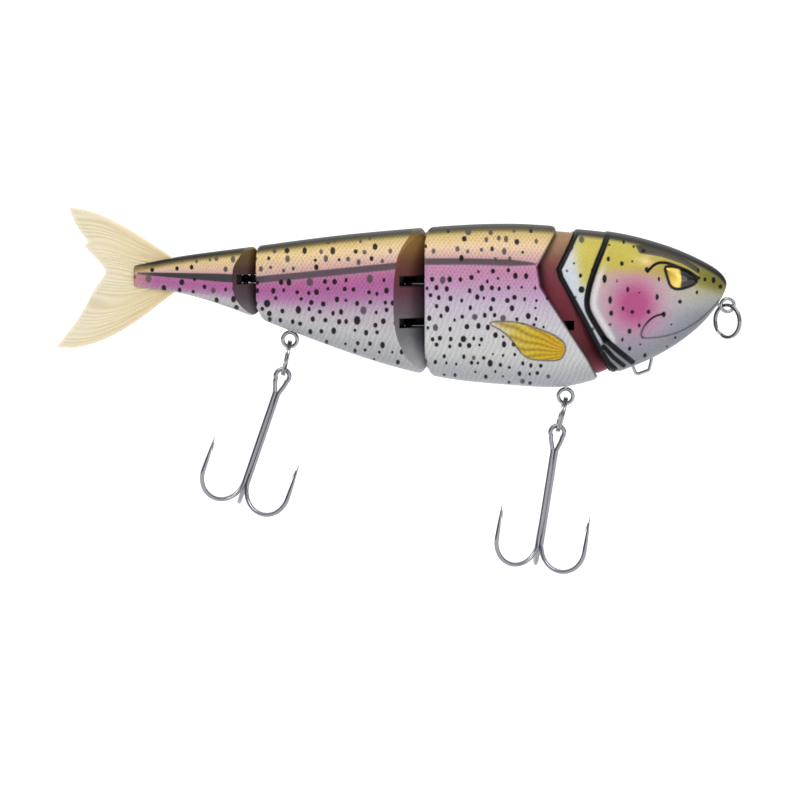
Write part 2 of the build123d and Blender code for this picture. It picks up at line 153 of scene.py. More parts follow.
def spline(knots, values):
    """A natural cubic spline through the knots, as a function of arrays."""
    count = len(knots)
    step = np.diff(knots)
    matrix = np.eye(count)
    right = np.zeros(count)
    for i in range(1, count - 1):
        matrix[i, i - 1] = step[i - 1]
        matrix[i, i] = 2 * (step[i - 1] + step[i])
        matrix[i, i + 1] = step[i]
        slope_ahead = (values[i + 1] - values[i]) / step[i]
        slope_behind = (values[i] - values[i - 1]) / step[i - 1]
        right[i] = 3 * (slope_ahead - slope_behind)
    curve = np.linalg.solve(matrix, right)

    def at(x):
        x = np.clip(x, knots[0], knots[-1])
        i = np.clip(np.searchsorted(knots, x) - 1, 0, count - 2)
        h = step[i]
        d = x - knots[i]
        b = (values[i + 1] - values[i]) / h - h * (2 * curve[i] + curve[i + 1]) / 3
        return values[i] + b * d + curve[i] * d ** 2 + (curve[i + 1] - curve[i]) / (3 * h) * d ** 3

    return at


nose_reach = NOSE_TIP[0] - STATIONS[:, 0]
half_height_curve = spline(
    STATIONS[:, 0], (STATIONS[:, 1] - STATIONS[:, 2]) / 2 / nose_reach ** NOSE_HEIGHT_POWER)
half_width_curve = spline(STATIONS[:, 0], STATIONS[:, 3] / nose_reach ** NOSE_WIDTH_POWER)
middle_curve = spline(np.append(STATIONS[:, 0], NOSE_TIP[0]),
                      np.append((STATIONS[:, 1] + STATIONS[:, 2]) / 2, NOSE_TIP[1]))


def form(x, inset=0.0):
    """Middle height, half height and half width of the body at x."""
    reach = np.maximum(NOSE_TIP[0] - x, 1e-4)
    height = half_height_curve(x) * reach ** NOSE_HEIGHT_POWER - inset
    width = half_width_curve(x) * reach ** NOSE_WIDTH_POWER - inset
    return middle_curve(x), np.maximum(height, 0.02), np.maximum(width, 0.02)


def signed_power(value, power):
    """A power that keeps the sign of its value."""
    return np.sign(value) * np.abs(value) ** power


table_angle = np.linspace(-math.pi / 2, math.pi / 2, 721)
table_y = signed_power(np.cos(table_angle), 2 / SECTION_POWER) * 0.52
table_z = signed_power(np.sin(table_angle), 2 / SECTION_POWER)
table_run = np.concatenate([[0], np.cumsum(np.hypot(np.diff(table_y), np.diff(table_z)))])
HALF_GIRTH = table_run[-1]
table_run = table_run - HALF_GIRTH / 2


def girth_angle(run):
    """The section angle at a share of the way from belly (0) to back (1)."""
    return np.interp((run - 0.5) * HALF_GIRTH, table_run, table_angle)


def surface_run(x, z):
    """Distance along the skin from its widest line up to height z."""
    middle, height, _ = form(x)
    up = np.clip((z - middle) / height, -1, 1)
    angle = np.arcsin(np.abs(up) ** (SECTION_POWER / 2)) * np.sign(up)
    return np.interp(angle, table_angle, table_run) * height


def skin_depth(x, y, z):
    """How far a point lies under the skin, in millimetres."""
    middle, height, width = form(x)
    shape = (np.abs(y) / width) ** SECTION_POWER + (np.abs(z - middle) / height) ** SECTION_POWER
    size = np.maximum(shape, 1e-6) ** (1 / SECTION_POWER)
    radius = np.hypot(y, z - middle) / np.maximum(size, 1e-3)
    return (1 - size) * radius


# ---------------------------------------------------------------- distances in side view

def near_line(x, z, line):
    """Distance from points to a broken line in side view."""
    best = np.full(np.shape(x), 1e9)
    for (ax, az), (bx, bz) in zip(line[:-1], line[1:]):
        length = max((bx - ax) ** 2 + (bz - az) ** 2, 1e-9)
        share = np.clip(((x - ax) * (bx - ax) + (z - az) * (bz - az)) / length, 0, 1)
        best = np.minimum(best, np.hypot(x - ax - share * (bx - ax), z - az - share * (bz - az)))
    return best


def inside(x, z, outline):
    """Distance into a closed outline in side view, negative outside it."""
    closed = list(outline) + [outline[0]]
    distance = near_line(x, z, closed)
    odd = np.zeros(np.shape(x), bool)
    for (ax, az), (bx, bz) in zip(closed[:-1], closed[1:]):
        if az == bz:
            continue
        crosses = (az > z) != (bz > z)
        odd ^= crosses & (x < (bx - ax) * (z - az) / (bz - az) + ax)
    return np.where(odd, distance, -distance)


def smooth(edge_low, edge_high, value):
    """0 below the first edge, 1 above the second, and a smooth step between."""
    share = np.clip((value - edge_low) / (edge_high - edge_low), 0, 1)
    return share * share * (3 - 2 * share)


def rounded(line, turns=3, closed=False):
    """Cuts the corners of a broken line, or of a closed outline, so that it runs smoothly."""
    points = [np.array(point, float) for point in line]
    for _ in range(turns):
        cut = []
        for a, b in zip(points, points[1:] + (points[:1] if closed else [])):
            cut += [a * 0.75 + b * 0.25, a * 0.25 + b * 0.75]
        points = cut if closed else [points[0]] + cut + [points[-1]]
    return [tuple(point) for point in points]


def shoulder(distance, radius):
    """How far a rounded edge falls away, from the distance to the edge."""
    near = np.clip(radius - distance, 0, radius)
    return radius - np.sqrt(np.maximum(radius ** 2 - near ** 2, 0))


def end_rounding(x, z, distance, side, low, high):
    """Rounds the end of a section by its own radius on its sides, at the belly and at the back."""
    middle, height, _ = form(x)
    up = np.clip((z - middle) / height, -1, 1)
    radius = side + (low - side) * smooth(0.6, 1.0, -up) + (high - side) * smooth(0.75, 1.0, up)
    return shoulder(distance, radius)


def bump(distance, middle, half_width):
    """A smooth bump of height 1 over a distance."""
    return np.exp(-((distance - middle) / half_width) ** 2)


def groove(distance, half_width, depth):
    """A round-bottomed groove about a line."""
    return -depth * bump(distance, 0, half_width)


def swell(x, z, centre, reach_x, reach_z):
    """A smooth mound of height 1 about a point in side view."""
    return np.exp(-(((x - centre[0]) / reach_x) ** 2 + ((z - centre[1]) / reach_z) ** 2))


def drawn(x, z, line, low, high):
    """A soft stroke of strength 1 along a line in side view."""
    return 1 - smooth(low, high, near_line(x, z, line))


# ---------------------------------------------------------------- mesh building

def linked(name, data):
    """A new object in the scene for a mesh, a lamp or a camera."""
    obj = bpy.data.objects.new(name, data)
    scene.collection.objects.link(obj)
    return obj


def smooth_shade(mesh, crease):
    """Smooth shading, with crisp edges above a crease angle in degrees."""
    mesh.polygons.foreach_set("use_smooth", [True] * len(mesh.polygons))
    mesh.set_sharp_from_angle(angle=math.radians(crease))


def solid(name, verts, faces, crease=None):
    """A closed mesh from points in millimetres with its faces outwards, smooth up to a crease."""
    mesh = bpy.data.meshes.new(name)
    mesh.from_pydata([tuple(point) for point in np.asarray(verts) * MM], [], faces)
    mesh.validate()
    work = bmesh.new()
    work.from_mesh(mesh)
    bmesh.ops.recalc_face_normals(work, faces=work.faces)
    work.to_mesh(mesh)
    work.free()
    if crease is not None:
        smooth_shade(mesh, crease)
    return linked(name, mesh)


def grid_faces(rows, columns, closed=False, start=0):
    """Quads between the points of a grid stored row by row."""
    faces = []
    last = columns if closed else columns - 1
    for row in range(rows - 1):
        here = start + row * columns
        for column in range(last):
            after = (column + 1) % columns
            ahead = here + columns
            faces.append((here + column, here + after, ahead + after, ahead + column))
    return faces


def rod_faces(rings, count):
    """Quads between rings of points, and a cap on each end."""
    caps = [tuple(range(count)), tuple(range((rings - 1) * count, rings * count))]
    return grid_faces(rings, count, closed=True) + caps


def section_skin(x, angle, inset=0.0):
    """Half width and height of the skin at an angle round the body's section."""
    middle, height, width = form(x, inset)
    y = width * signed_power(np.cos(angle), 2 / SECTION_POWER)
    return y, middle + height * signed_power(np.sin(angle), 2 / SECTION_POWER)


def half_body(name, low_x, high_x, step, relief):
    """The right half of the body between two places along X, closed on the centre plane."""
    high_x = min(high_x, NOSE_TIP[0] - 0.02)
    xs = np.linspace(low_x, high_x, max(int((high_x - low_x) / step), 4) + 1)
    if high_x > -1:
        xs = high_x - np.linspace(1, 0, len(xs)) ** 1.5 * (high_x - low_x)
    count = int(HALF_GIRTH * float(np.max(form(xs)[1])) / step) + 1
    grid_x, angle = np.meshgrid(xs, girth_angle(np.linspace(0, 1, count)), indexing="ij")
    y, z = section_skin(grid_x, angle)
    points = np.stack([grid_x, np.minimum(-y, -SEAM), z], axis=-1)
    normal = np.cross(np.gradient(points, axis=1), np.gradient(points, axis=0))
    normal /= np.maximum(np.linalg.norm(normal, axis=-1, keepdims=True), 1e-9)
    if normal[len(xs) // 2, count // 2, 1] > 0:
        normal = -normal
    points = points + normal * relief(points[..., 0], points[..., 2])[..., None]
    points[..., 1] = np.clip(points[..., 1], -WIDEST, -SEAM)
    rows, columns = grid_x.shape
    faces = grid_faces(rows, columns)
    for row in range(rows - 1):
        here = row * columns
        ahead = here + columns
        faces.append((here, ahead, ahead + columns - 1, here + columns - 1))
    faces.append(tuple(range(columns)))
    faces.append(tuple(reversed(range((rows - 1) * columns, rows * columns))))
    return solid(name, points.reshape(-1, 3), faces)


def resample(outline, step):
    """A closed outline with points no further apart than step."""
    dense = []
    for (ax, ay), (bx, by) in zip(outline, list(outline[1:]) + [outline[0]]):
        parts = max(int(math.hypot(bx - ax, by - ay) / step), 1)
        for part in range(parts):
            share = part / parts
            dense.append((ax + share * (bx - ax), ay + share * (by - ay)))
    return dense


def prism(outline, low, high, across, step=0.8):
    """A closed outline carried from low to high. across is 'Y' for a side view, 'Z' for a plan."""
    dense = resample(outline, step)
    levels = np.linspace(low, high, max(int((high - low) / step), 1) + 1)
    verts = []
    for level in levels:
        for a, b in dense:
            verts.append((a, level, b) if across == "Y" else (a, b, level))
    return solid("cutter", verts, rod_faces(len(levels), len(dense)))


def turned(a, b, degrees, centre=0.0):
    """Turns points by an angle about a centre on their first axis."""
    c, s = math.cos(math.radians(degrees)), math.sin(math.radians(degrees))
    return centre + c * a - s * b, s * a + c * b


def arc(centre, radius, start, span, steps):
    """Points round a centre on the first axis, from a start over a span in radians."""
    angles = [start + span * i / steps for i in range(steps + 1)]
    return [(centre + radius * math.cos(angle), radius * math.sin(angle)) for angle in angles]


def flared_nose(pin_x, radius, crease, turn=0.0):
    """Plan of a joint nose: a round tip about the pin and flanks back to the crease."""
    dx = crease[0] - pin_x
    reach = math.hypot(dx, crease[1])
    normal = math.atan2(crease[1], dx) - math.acos(radius / reach)
    along = (-math.sin(normal), math.cos(normal))
    tip = arc(0.0, radius, -normal, 2 * normal, 40)
    left = (tip[-1][0] + NOSE_BACK * along[0], tip[-1][1] + NOSE_BACK * along[1])
    right = (left[0], -left[1])
    outline = tip + [left, (left[0] - NOSE_BACK, left[1]), (right[0] - NOSE_BACK, right[1]), right]
    return [turned(a, b, turn, pin_x) for a, b in outline]


SKIN_SLOT = bpy.data.materials.new("skin")
WALL_SLOT = bpy.data.materials.new("wall")


def use_slot(mesh, slot):
    """Gives every face of a mesh one material slot."""
    mesh.polygons.foreach_set("material_index", [slot] * len(mesh.polygons))


def boolean(obj, cutter, operation):
    """Applies one boolean to obj and removes the cutter. Cut faces get the wall material."""
    for mesh, slot in ((obj.data, 0), (cutter.data, 1)):
        if len(mesh.materials) < 2:
            mesh.materials.clear()
            mesh.materials.append(SKIN_SLOT)
            mesh.materials.append(WALL_SLOT)
            use_slot(mesh, slot)
    modifier = obj.modifiers.new("cut", "BOOLEAN")
    modifier.solver = "MANIFOLD"
    modifier.operation = operation
    modifier.object = cutter
    graph = bpy.context.evaluated_depsgraph_get()
    mesh = bpy.data.meshes.new_from_object(obj.evaluated_get(graph))
    obj.modifiers.clear()
    old = obj.data
    obj.data = mesh
    bpy.data.meshes.remove(old)
    bpy.data.objects.remove(cutter)


def whole_body(low_x, high_x, inset, turn=0.0, pin_x=0.0):
    """The plain body on both sides between two places along X, drawn in, and turned about a pin."""
    xs = np.linspace(low_x, high_x, int((high_x - low_x) / 1.0) + 1)
    angles = np.linspace(0, 2 * math.pi, 145)[:-1]
    grid_x, angle = np.meshgrid(xs, angles, indexing="ij")
    y, z = section_skin(grid_x, angle, inset)
    verts = np.stack([*turned(grid_x - pin_x, y, turn, pin_x), z], axis=-1).reshape(-1, 3)
    return solid("cutter", verts, rod_faces(*grid_x.shape))


def points_of(obj):
    """The points of a mesh in millimetres."""
    co = np.empty(len(obj.data.vertices) * 3)
    obj.data.vertices.foreach_get("co", co)
    return co.reshape(-1, 3) / MM


def mirrored(obj, name):
    """The left half of a section as a second object, from its right half."""
    mesh = obj.data.copy()
    mesh.name = name
    points = points_of(obj) * MM
    points[:, 1] *= -1
    mesh.vertices.foreach_set("co", points.ravel())
    mesh.flip_normals()
    return linked(name, mesh)


# ---------------------------------------------------------------- relief and paint layout

CHEEK_LINE = rounded([(-34.2, 19.6), (-35.2, 17.0), (-37.6, 11.4), (-39.7, 4.8), (-40.1, 0.3),
                      (-38.6, -3.0), (-34.6, -9.4)], 2)
GILL_SLITS = [
    ([(-34.9, -8.8), (-31.0, -12.3), (-27.0, -15.6)], 0.8),
    ([(-35.2, -11.0), (-32.4, -14.1), (-29.4, -16.6)], 0.65),
    ([(-35.2, -13.0), (-33.6, -15.6), (-31.6, -17.6)], 0.55),
]
GILL_CORNER = [(-35.8, -8.0), (-33.8, -8.9), (-26.4, -15.6), (-29.0, -18.6), (-32.8, -19.2), (-36.2, -12.6)]
GILL_PLATE = CHEEK_LINE + [(-30.0, -20.0), (-60.0, -20.0), (-60.0, 24.0), (-34.0, 24.0)]
MOUTH_CORNER = rounded([(-18.4, -1.8), (-21.4, -2.6), (-23.9, -5.1), (-24.9, -7.6), (-24.2, -8.6)])
JAW_LINE = rounded([(-24.2, -8.6), (-20.0, -8.6), (-15.4, -7.7), (-11.2, -5.9), (-7.0, -3.0), (-2.2, 1.7)])
BROW_LINE = rounded([(-23.0, 10.0), (-20.9, 12.2), (-18.3, 12.6), (-15.4, 11.7), (-12.0, 10.2), (-8.4, 8.0)])
BROW_TOP = rounded([(-25.2, 15.0), (-21.5, 14.5), (-18.0, 13.8), (-12.0, 11.6), (-8.2, 8.8)])
BROW_WEDGE = BROW_TOP + [(-8.6, 11.0), (-13.0, 13.8), (-18.0, 16.2), (-23.0, 17.4), (-26.5, 17.4)]
BROW_RIDGE = [(-24.0, 13.2), (-20.5, 13.6), (-16.0, 12.5), (-11.5, 10.6), (-8.6, 8.5)]
# Path of the painted highlight along the brow ridge.
RIDGE_HIGHLIGHT = [(-22.0, 13.6), (-18.0, 13.0), (-13.0, 11.3), (-9.0, 8.8)]
EYE_OUTLINE = rounded([(-18.4, 12.0), (-17.4, 8.4), (-16.4, 5.4), (-13.4, 4.8), (-8.0, 7.1),
                       (-11.5, 10.4)], 2, closed=True)
FIN_OUTLINE = rounded([(-67.8, -4.2), (-63.4, -3.8), (-57.9, -4.4), (-53.0, -6.2), (-48.6, -8.0),
                       (-45.9, -10.2), (-46.3, -13.4), (-48.0, -14.8), (-51.8, -14.7), (-56.3, -14.3),
                       (-58.7, -12.2), (-61.2, -8.4), (-64.2, -5.9)], 2, closed=True)
FIN_ROOT = (-46.4, -12.6)

# Pitch of the scales along the body and round it.
FRONT_SCALES = (1.15, 0.92)
MID_SCALES = (1.1, 0.88)
REAR_SCALES = (0.85, 0.66)
# Depth of the pink band below the side stripe, at places along X.
PINK_DEPTH = ([-168, -140, -132, -112, -94, -85, -60], [3.8, 5.2, 6.6, 9.6, 10.4, 11.0, 12.0])


def stripe_line(x):
    """Height of the middle of the dark side stripe."""
    front = 12.9 - 0.00135 * (x + 77.0) ** 2
    mid = 7.5 + (x + 132.6) * 0.1049
    rear = 7.9 + (-139.6 - x) * 0.045
    return np.where(x > -87, front, np.where(x > -137, mid, rear))


def stripe_inside(x, z):
    """Distance into the dark side stripe, negative outside."""
    front_half = np.where(x > -87, 0.86 * np.clip((-54.2 - x) / 7.0, 0, 1) ** 0.6, 0.9)
    half = np.where(x > -137, front_half, 0.25 + 0.85 * np.clip((x + 166.0) / 24.0, 0, 1))
    distance = half - np.abs(z - stripe_line(x))
    beyond = ((x > -87) & (x > -54.2)) | (x < -166.0)
    return np.where(beyond, -1.0, distance)


def tone(x, z):
    """0 at the belly, 0.3 at the foot of the pink band, 0.5 on the side stripe, 1 at the back."""
    middle, height, _ = form(x)
    back = middle + height
    belly = middle - height
    stripe = stripe_line(x)
    above = 0.5 + 0.5 * (z - stripe) / np.maximum(back - stripe, 0.5)
    pink = np.interp(x, *PINK_DEPTH)
    depth = stripe - z
    floor = np.maximum(stripe - belly - pink, 0.5)
    below = np.where(depth < pink, 0.5 - 0.2 * depth / pink, 0.3 - 0.3 * (depth - pink) / floor)
    return np.clip(np.where(z > stripe, above, below), 0, 1)


def scales(x, z, pitch_x, pitch_run):
    """Overlapping scales: 0 at each scale's sunken front, 1 at its raised rear edge."""
    run = surface_run(x, z)
    radius = 0.5 * math.hypot(pitch_x, 2 * pitch_run) * 0.72
    row = np.round(run / pitch_run)
    best_x = np.full(np.shape(x), -1e9)
    for row_step in (-2, -1, 0, 1, 2):
        this_row = row + row_step
        shift = np.where(np.mod(this_row, 2) > 0.5, pitch_x / 2, 0.0)
        column = np.round((x - shift) / pitch_x)
        for column_step in (-1, 0, 1):
            cx = (column + column_step) * pitch_x + shift
            covered = np.hypot(x - cx, run - this_row * pitch_run) < radius
            best_x = np.where(covered & (cx > best_x), cx, best_x)
    share = (best_x - x) / radius
    return np.clip(np.where(best_x < -1e8, 0.0, 0.5 + 0.5 * share), 0, 1)


def head_relief(x, z):
    """Gill plates, gill slits, mouth, brow and cheek of the head."""
    rise = -shoulder(near_line(x, z, GILL_EDGE), 1.2)
    cheek = near_line(x, z, CHEEK_LINE)
    low_down = 1 - smooth(14.5, 18.5, z)
    rise += groove(cheek, 0.7, 0.8) * (0.35 + 0.65 * low_down)
    low = smooth(-0.4, 0.6, inside(x, z, GILL_PLATE))
    rise -= 0.35 * low
    rise += 0.35 * bump(cheek, 1.6, 0.9) * (1 - low) * low_down
    for line, half_width in GILL_SLITS:
        rise += groove(near_line(x, z, line), half_width, 0.7)
    lip = near_line(x, z, MOUTH_CORNER)
    rise += groove(lip, 0.24, 0.35)
    rise += groove(near_line(x, z, JAW_LINE), 0.25, 0.22)
    rise += 0.3 * bump(lip, 1.3, 0.8)
    rise += groove(near_line(x, z, BROW_LINE), 0.32, 0.5)
    rise += 0.65 * bump(near_line(x, z, BROW_RIDGE), 0, 1.5)
    rise -= 0.25 * smooth(0.0, 0.7, inside(x, z, BROW_WEDGE))
    rise += 0.55 * swell(x, z, (-24.0, 12.8), 2.4, 1.6)
    eye = inside(x, z, EYE_OUTLINE)
    rise += groove(np.abs(eye - 0.1), 0.35, 0.35)
    rise -= 0.75 * smooth(0.0, 0.5, eye)
    return rise + 0.45 * swell(x, z, (-27.5, 1.5), 6.5, 7.0)


def fin_fields(x, z):
    """Distance into the pectoral fin and its ray pattern."""
    into = inside(x, z, FIN_OUTLINE)
    angle = np.arctan2(z - FIN_ROOT[1], x - FIN_ROOT[0] - 3.0)
    reach = np.hypot(z - FIN_ROOT[1], x - FIN_ROOT[0] - 3.0)
    rays = (0.5 + 0.5 * np.cos(angle * 40 + 0.5 * np.sin(reach * 0.8))) ** 0.5
    rings = 0.5 + 0.5 * np.cos(reach * 4.2 + 1.5 * np.cos(angle * 26))
    return into, 0.8 * rays + 0.2 * rings


def stripe_groove(x, z, rim, half_width, depth):
    """The shallow groove that the side stripe lies in."""
    return groove(np.clip(-stripe_inside(x, z) + rim, 0, 9), half_width, depth)


def front_relief(x, z):
    """Scales, side groove, pectoral fin and edge rounding of the front section."""
    into, rays = fin_fields(x, z)
    body = 0.06 * scales(x, z, *FRONT_SCALES)
    body += stripe_groove(x, z, 0.5, 0.6, 0.16)
    fin = 0.06 + 0.22 * smooth(0.0, 0.9, into) + 0.13 * rays * smooth(0.4, 1.1, into)
    rise = np.where(into > 0, fin, body - 0.12 * bump(into, -0.6, 1.6))
    rise += groove(into, 0.45, 0.3) * (into < 0)
    rise -= shoulder(near_line(x, z, FRONT_EDGE), 1.5)
    rise -= end_rounding(x, z, x - FRONT_REAR_WALL_X, 0.5, 3.4, 1.9)
    return rise - 0.1


def mid_relief(x, z):
    """Scales and side groove of the mid section."""
    rise = 0.055 * scales(x, z, *MID_SCALES)
    rise += stripe_groove(x, z, 0.5, 0.6, 0.14)
    rise -= end_rounding(x, z, x - MID_REAR_WALL_X, 0.5, 3.2, 1.6)
    rise -= end_rounding(x, z, FRONT_REAR_WALL_X - x, 0.01, 2.0, 1.4)
    return rise - 0.06


def rear_relief(x, z):
    """Scales and side groove of the rear section."""
    rise = 0.035 * scales(x, z, *REAR_SCALES)
    rise += stripe_groove(x, z, 0.4, 0.5, 0.1)
    rise -= shoulder(x - REAR_END_X, 1.0)
    rise -= end_rounding(x, z, MID_REAR_WALL_X - x, 0.01, 2.2, 1.3)
    return rise - 0.04


# ---------------------------------------------------------------- colours

def tint(code):
    """A colour from its six hex digits, as screen values from 0 to 1."""
    return np.array([int(code[i:i + 2], 16) / 255 for i in (0, 2, 4)])


def ramp(value, stops):
    """Screen colours along a list of (place, hex colour)."""
    places = [place for place, _ in stops]
    colours = np.array([tint(code) for _, code in stops])
    return np.stack([np.interp(value, places, colours[:, i]) for i in range(3)], axis=-1)


def over(base, colour, amount):
    """Lays a colour over others by an amount from 0 to 1."""
    colour = tint(colour) if isinstance(colour, str) else colour
    return base + (colour - base) * np.asarray(amount)[..., None]


def to_linear(colour):
    """Linear light from screen values."""
    colour = np.clip(colour, 0, 1)
    return np.where(colour <= 0.04045, colour / 12.92, ((colour + 0.055) / 1.055) ** 2.4)


def store_colour(obj, name, colour):
    """Stores a colour for each point of a mesh, given as screen values."""
    layer = obj.data.attributes.new(name, "FLOAT_COLOR", "POINT")
    linear = np.ones((len(colour), 4), dtype=np.float32)
    linear[:, :3] = to_linear(colour)
    layer.data.foreach_set("color", linear.ravel())


def spotted(colour, x, z, spots, codes):
    """Lays grey and then black spots over the paint, each with its own colour."""
    for kind, code, strength in zip(("grey", "black"), codes, (0.88, 0.97)):
        amount = np.zeros(np.shape(x))
        for cx, cz, rx, rz in spots[kind]:
            near = (np.abs(x - cx) < rx * 1.5) & (np.abs(z - cz) < rz * 1.5)
            if near.any():
                reach = np.hypot((x[near] - cx) / rx, (z[near] - cz) / rz)
                amount[near] = np.maximum(amount[near], 1 - smooth(0.72, 1.12, reach))
        colour = over(colour, np.minimum(colour, tint(code)), strength * amount)
    return colour


# Each spot's place in side view, its half length and its half height.
HEAD_SPOTS = {
    "black": [
        (-43.6, 12.4, 0.33, 0.33), (-41.8, 9, 0.5, 0.66), (-41.5, 5.1, 0.9, 1), (-33.7, 17.4, 0.3, 0.3),
        (-34, 13.6, 0.5, 0.75), (-30.2, 12.3, 0.55, 0.7), (-27.3, 12.9, 0.33, 0.33),
        (-29.6, 18.2, 0.4, 0.6), (-26.8, 16.9, 0.37, 0.37), (-35.1, 8.1, 0.66, 1.25),
        (-28.6, 5.1, 0.45, 0.83), (-33.5, 2.2, 0.55, 1.15), (-33.2, -1.5, 0.6, 0.83),
        (-29.9, -0.2, 0.45, 0.66), (-27.3, -1.2, 0.6, 0.6), (-25.3, 4.2, 0.25, 0.25),
        (-22.7, -1.2, 0.55, 0.66), (-20.3, 2.9, 0.5, 0.9), (-19.8, 7.9, 0.33, 0.7),
        (-25.3, -5, 0.45, 0.6), (-28, -6.6, 0.6, 0.8), (-30, -9, 0.4, 0.6), (-27.9, -11.6, 0.5, 0.7),
        (-24.9, -10.4, 0.3, 0.3), (-23.5, -13.7, 0.55, 0.75), (-23.2, 10.6, 0.66, 0.75),
        (-18.4, -2, 0.62, 0.83), (-16.2, -4.9, 0.3, 0.3), (-13.8, 1.5, 0.6, 0.6), (-9, 4, 0.4, 0.6),
        (-15, -8.7, 0.4, 0.4), (-17.2, -11.3, 0.35, 0.35), (-8.6, 10.2, 0.4, 0.6),
        (-6.7, 7.6, 0.45, 0.6), (-4.2, 7.3, 0.62, 0.9), (-2.2, 5.4, 0.6, 0.66), (-24.1, 15.7, 0.6, 0.6),
        (-38.3, 10.4, 0.6, 0.75),
    ],
    "grey": [
        (-41.4, 18.9, 0.8, 1), (-44.3, 16.9, 0.65, 1), (-45.6, 10.3, 0.4, 0.4), (-43.2, 3, 0.4, 0.4),
        (-38.4, -6, 0.55, 0.55), (-31.6, 7.5, 0.3, 0.5), (-33.5, -4.7, 0.5, 0.5),
    ],
}


def scatter_spots(spots, low_x, high_x, seed):
    """Adds a body section's spots: small and close below the side stripe, larger and fewer above."""
    rng = np.random.default_rng(seed)
    front = low_x > -90
    pitch_x, pitch_z = (3.0, 2.7) if front else (3.3, 2.9)
    for column in range(int((high_x - low_x) / pitch_x) + 1):
        for row in range(17):
            x = low_x + (column + 0.5 * (row % 2)) * pitch_x + rng.uniform(-0.95, 0.95)
            z = -21.5 + row * pitch_z + rng.uniform(-0.85, 0.85)
            size = rng.uniform(0.36, 0.72) if front else rng.uniform(0.42, 0.76)
            stretch = rng.uniform(1.05, 1.5)
            keep = rng.uniform()
            large = rng.uniform()
            middle, height, _ = form(np.array(x))
            place = float(tone(np.array(x), np.array(z)))
            above = place > 0.53
            chance = 0.62 if above else 0.12 if place > 0.47 else 0.86
            if abs(z - middle) > height - 0.5 or keep > chance:
                continue
            if large > 0.88:
                size += 0.28
            if place < 0.12:
                size *= 0.8
            kind = "grey" if above and keep > 0.2 or large > 0.93 else "black"
            spots[kind].append((x, z, size, size * stretch))


BODY_SPOTS = {"black": [], "grey": []}
scatter_spots(BODY_SPOTS, -166.0, -87.0, 11)
scatter_spots(BODY_SPOTS, -85.0, -50.0, 5)

ABOVE = [(0.50, "a5858b"), (0.53, "c29a9e"), (0.60, "cfaaa0"), (0.70, "dabb9c"), (0.80, "d8bc88"),
         (1.0, "bea868")]
BELOW_FRONT = [(0.0, "a2a5ad"), (0.05, "aeb0b4"), (0.12, "c6c6c5"), (0.22, "c6c3c8"), (0.30, "c2b4c6"),
               (0.35, "bd9fbd"), (0.40, "bb8eb1"), (0.45, "bd84a6"), (0.50, "c388a4")]
BELOW_REAR = [(0.0, "a0a1a8"), (0.06, "adaeb3"), (0.15, "bcbabe"), (0.25, "b7abb6"), (0.30, "b093ad"),
              (0.35, "ab6f9f"), (0.41, "a95f95"), (0.46, "b06a94"), (0.50, "b8809a")]
BACK_BAND = [(0.0, "12110e"), (0.6, "242018"), (1.1, "564b2c"), (1.8, "94834c"), (2.8, "d6bd7e")]
STRIPE = [(-165.0, "36343a"), (-137.0, "3f3a41"), (-128.0, "594a52")]
FIN_COLOURS = [(-68.0, "cfc9bb"), (-63.5, "cdc49c"), (-59.5, "c9b552"), (-53.0, "c9a82a"), (-46.0, "cda222")]

JAW_GREY = [(-18, "7b7f87"), (-10, "8b8e96"), (-5, "a3a3a8"), (0, "b0aeb0"), (5, "b5aaa4"), (9, "bda48c")]
NOSE_GREY = [(-10, "70747c"), (-3, "7f848a"), (1, "9a9b9a"), (5, "a3a184")]
CROWN_YELLOW = [(-50, "b4ad78"), (-38, "b8ad4e"), (-28, "bbae50"), (-18, "a99a48"), (-10, "857e3a"),
                (-3, "716d32")]
CROWN_FOOT = ([-48, -40, -31, -22, -10, -3], [11.0, 11.3, 10.6, 9.2, 6.6, 4.4])
HEAD_BACK_BAND = [(0, "100f0d"), (1.2, "211f1b"), (2.0, "5f5a3c"), (2.8, "9a9050")]
PLATE_COLOURS = [(-18, "9a9ca3"), (-8, "aeb0b4"), (2, "bfc4ca"), (8, "c3cad4"), (14, "c6cbd0"),
                 (20, "a9a48a")]
PATCH_REACH = ([3.0, 8.0, 13.0, 17.0, 20.0], [0.8, 3.0, 5.6, 7.4, 7.4])
# Dark lines of the head: each one's path, where it starts to fade, where it ends and its strength.
HEAD_LINES = [
    (CHEEK_LINE, 0.6, 1.0, 1.0), (MOUTH_CORNER, 0.12, 0.4, 0.35), (JAW_LINE, 0.1, 0.4, 0.3),
    (BROW_LINE, 0.2, 0.55, 0.9), (GILL_EDGE, 1.25, 1.7, 1.0),
] + [(line, half_width * 0.75, half_width * 1.2, 1.0) for line, half_width in GILL_SLITS]

# Colours up the joint faces by height: the head joint's maroon paint, and for the mid and rear joints the
# skin's bands darkened as painted shade.
HEAD_WALL = [(-20.5, "b08890"), (-18, "722c39"), (-13, "4a161d"), (-4, "541a23"), (4, "622833"),
             (11, "6e3a3f"), (15, "7a5744"), (19, "937356"), (21.5, "7a5f45")]
MID_WALL = [(-18, "8e8e94"), (-13, "7c7c81"), (-8, "636367"), (-3, "5b555a"), (1, "57414c"), (4, "53323e"),
            (7, "532b35"), (10, "562f2c"), (13, "5f3c28"), (16, "70502b"), (19, "785929"), (21, "453924")]
REAR_WALL = [(-3, "67676d"), (0, "514d53"), (3, "43343b"), (7, "3b252b"), (10, "3c2321"),
             (12, "4c3421"), (15, "50401f")]


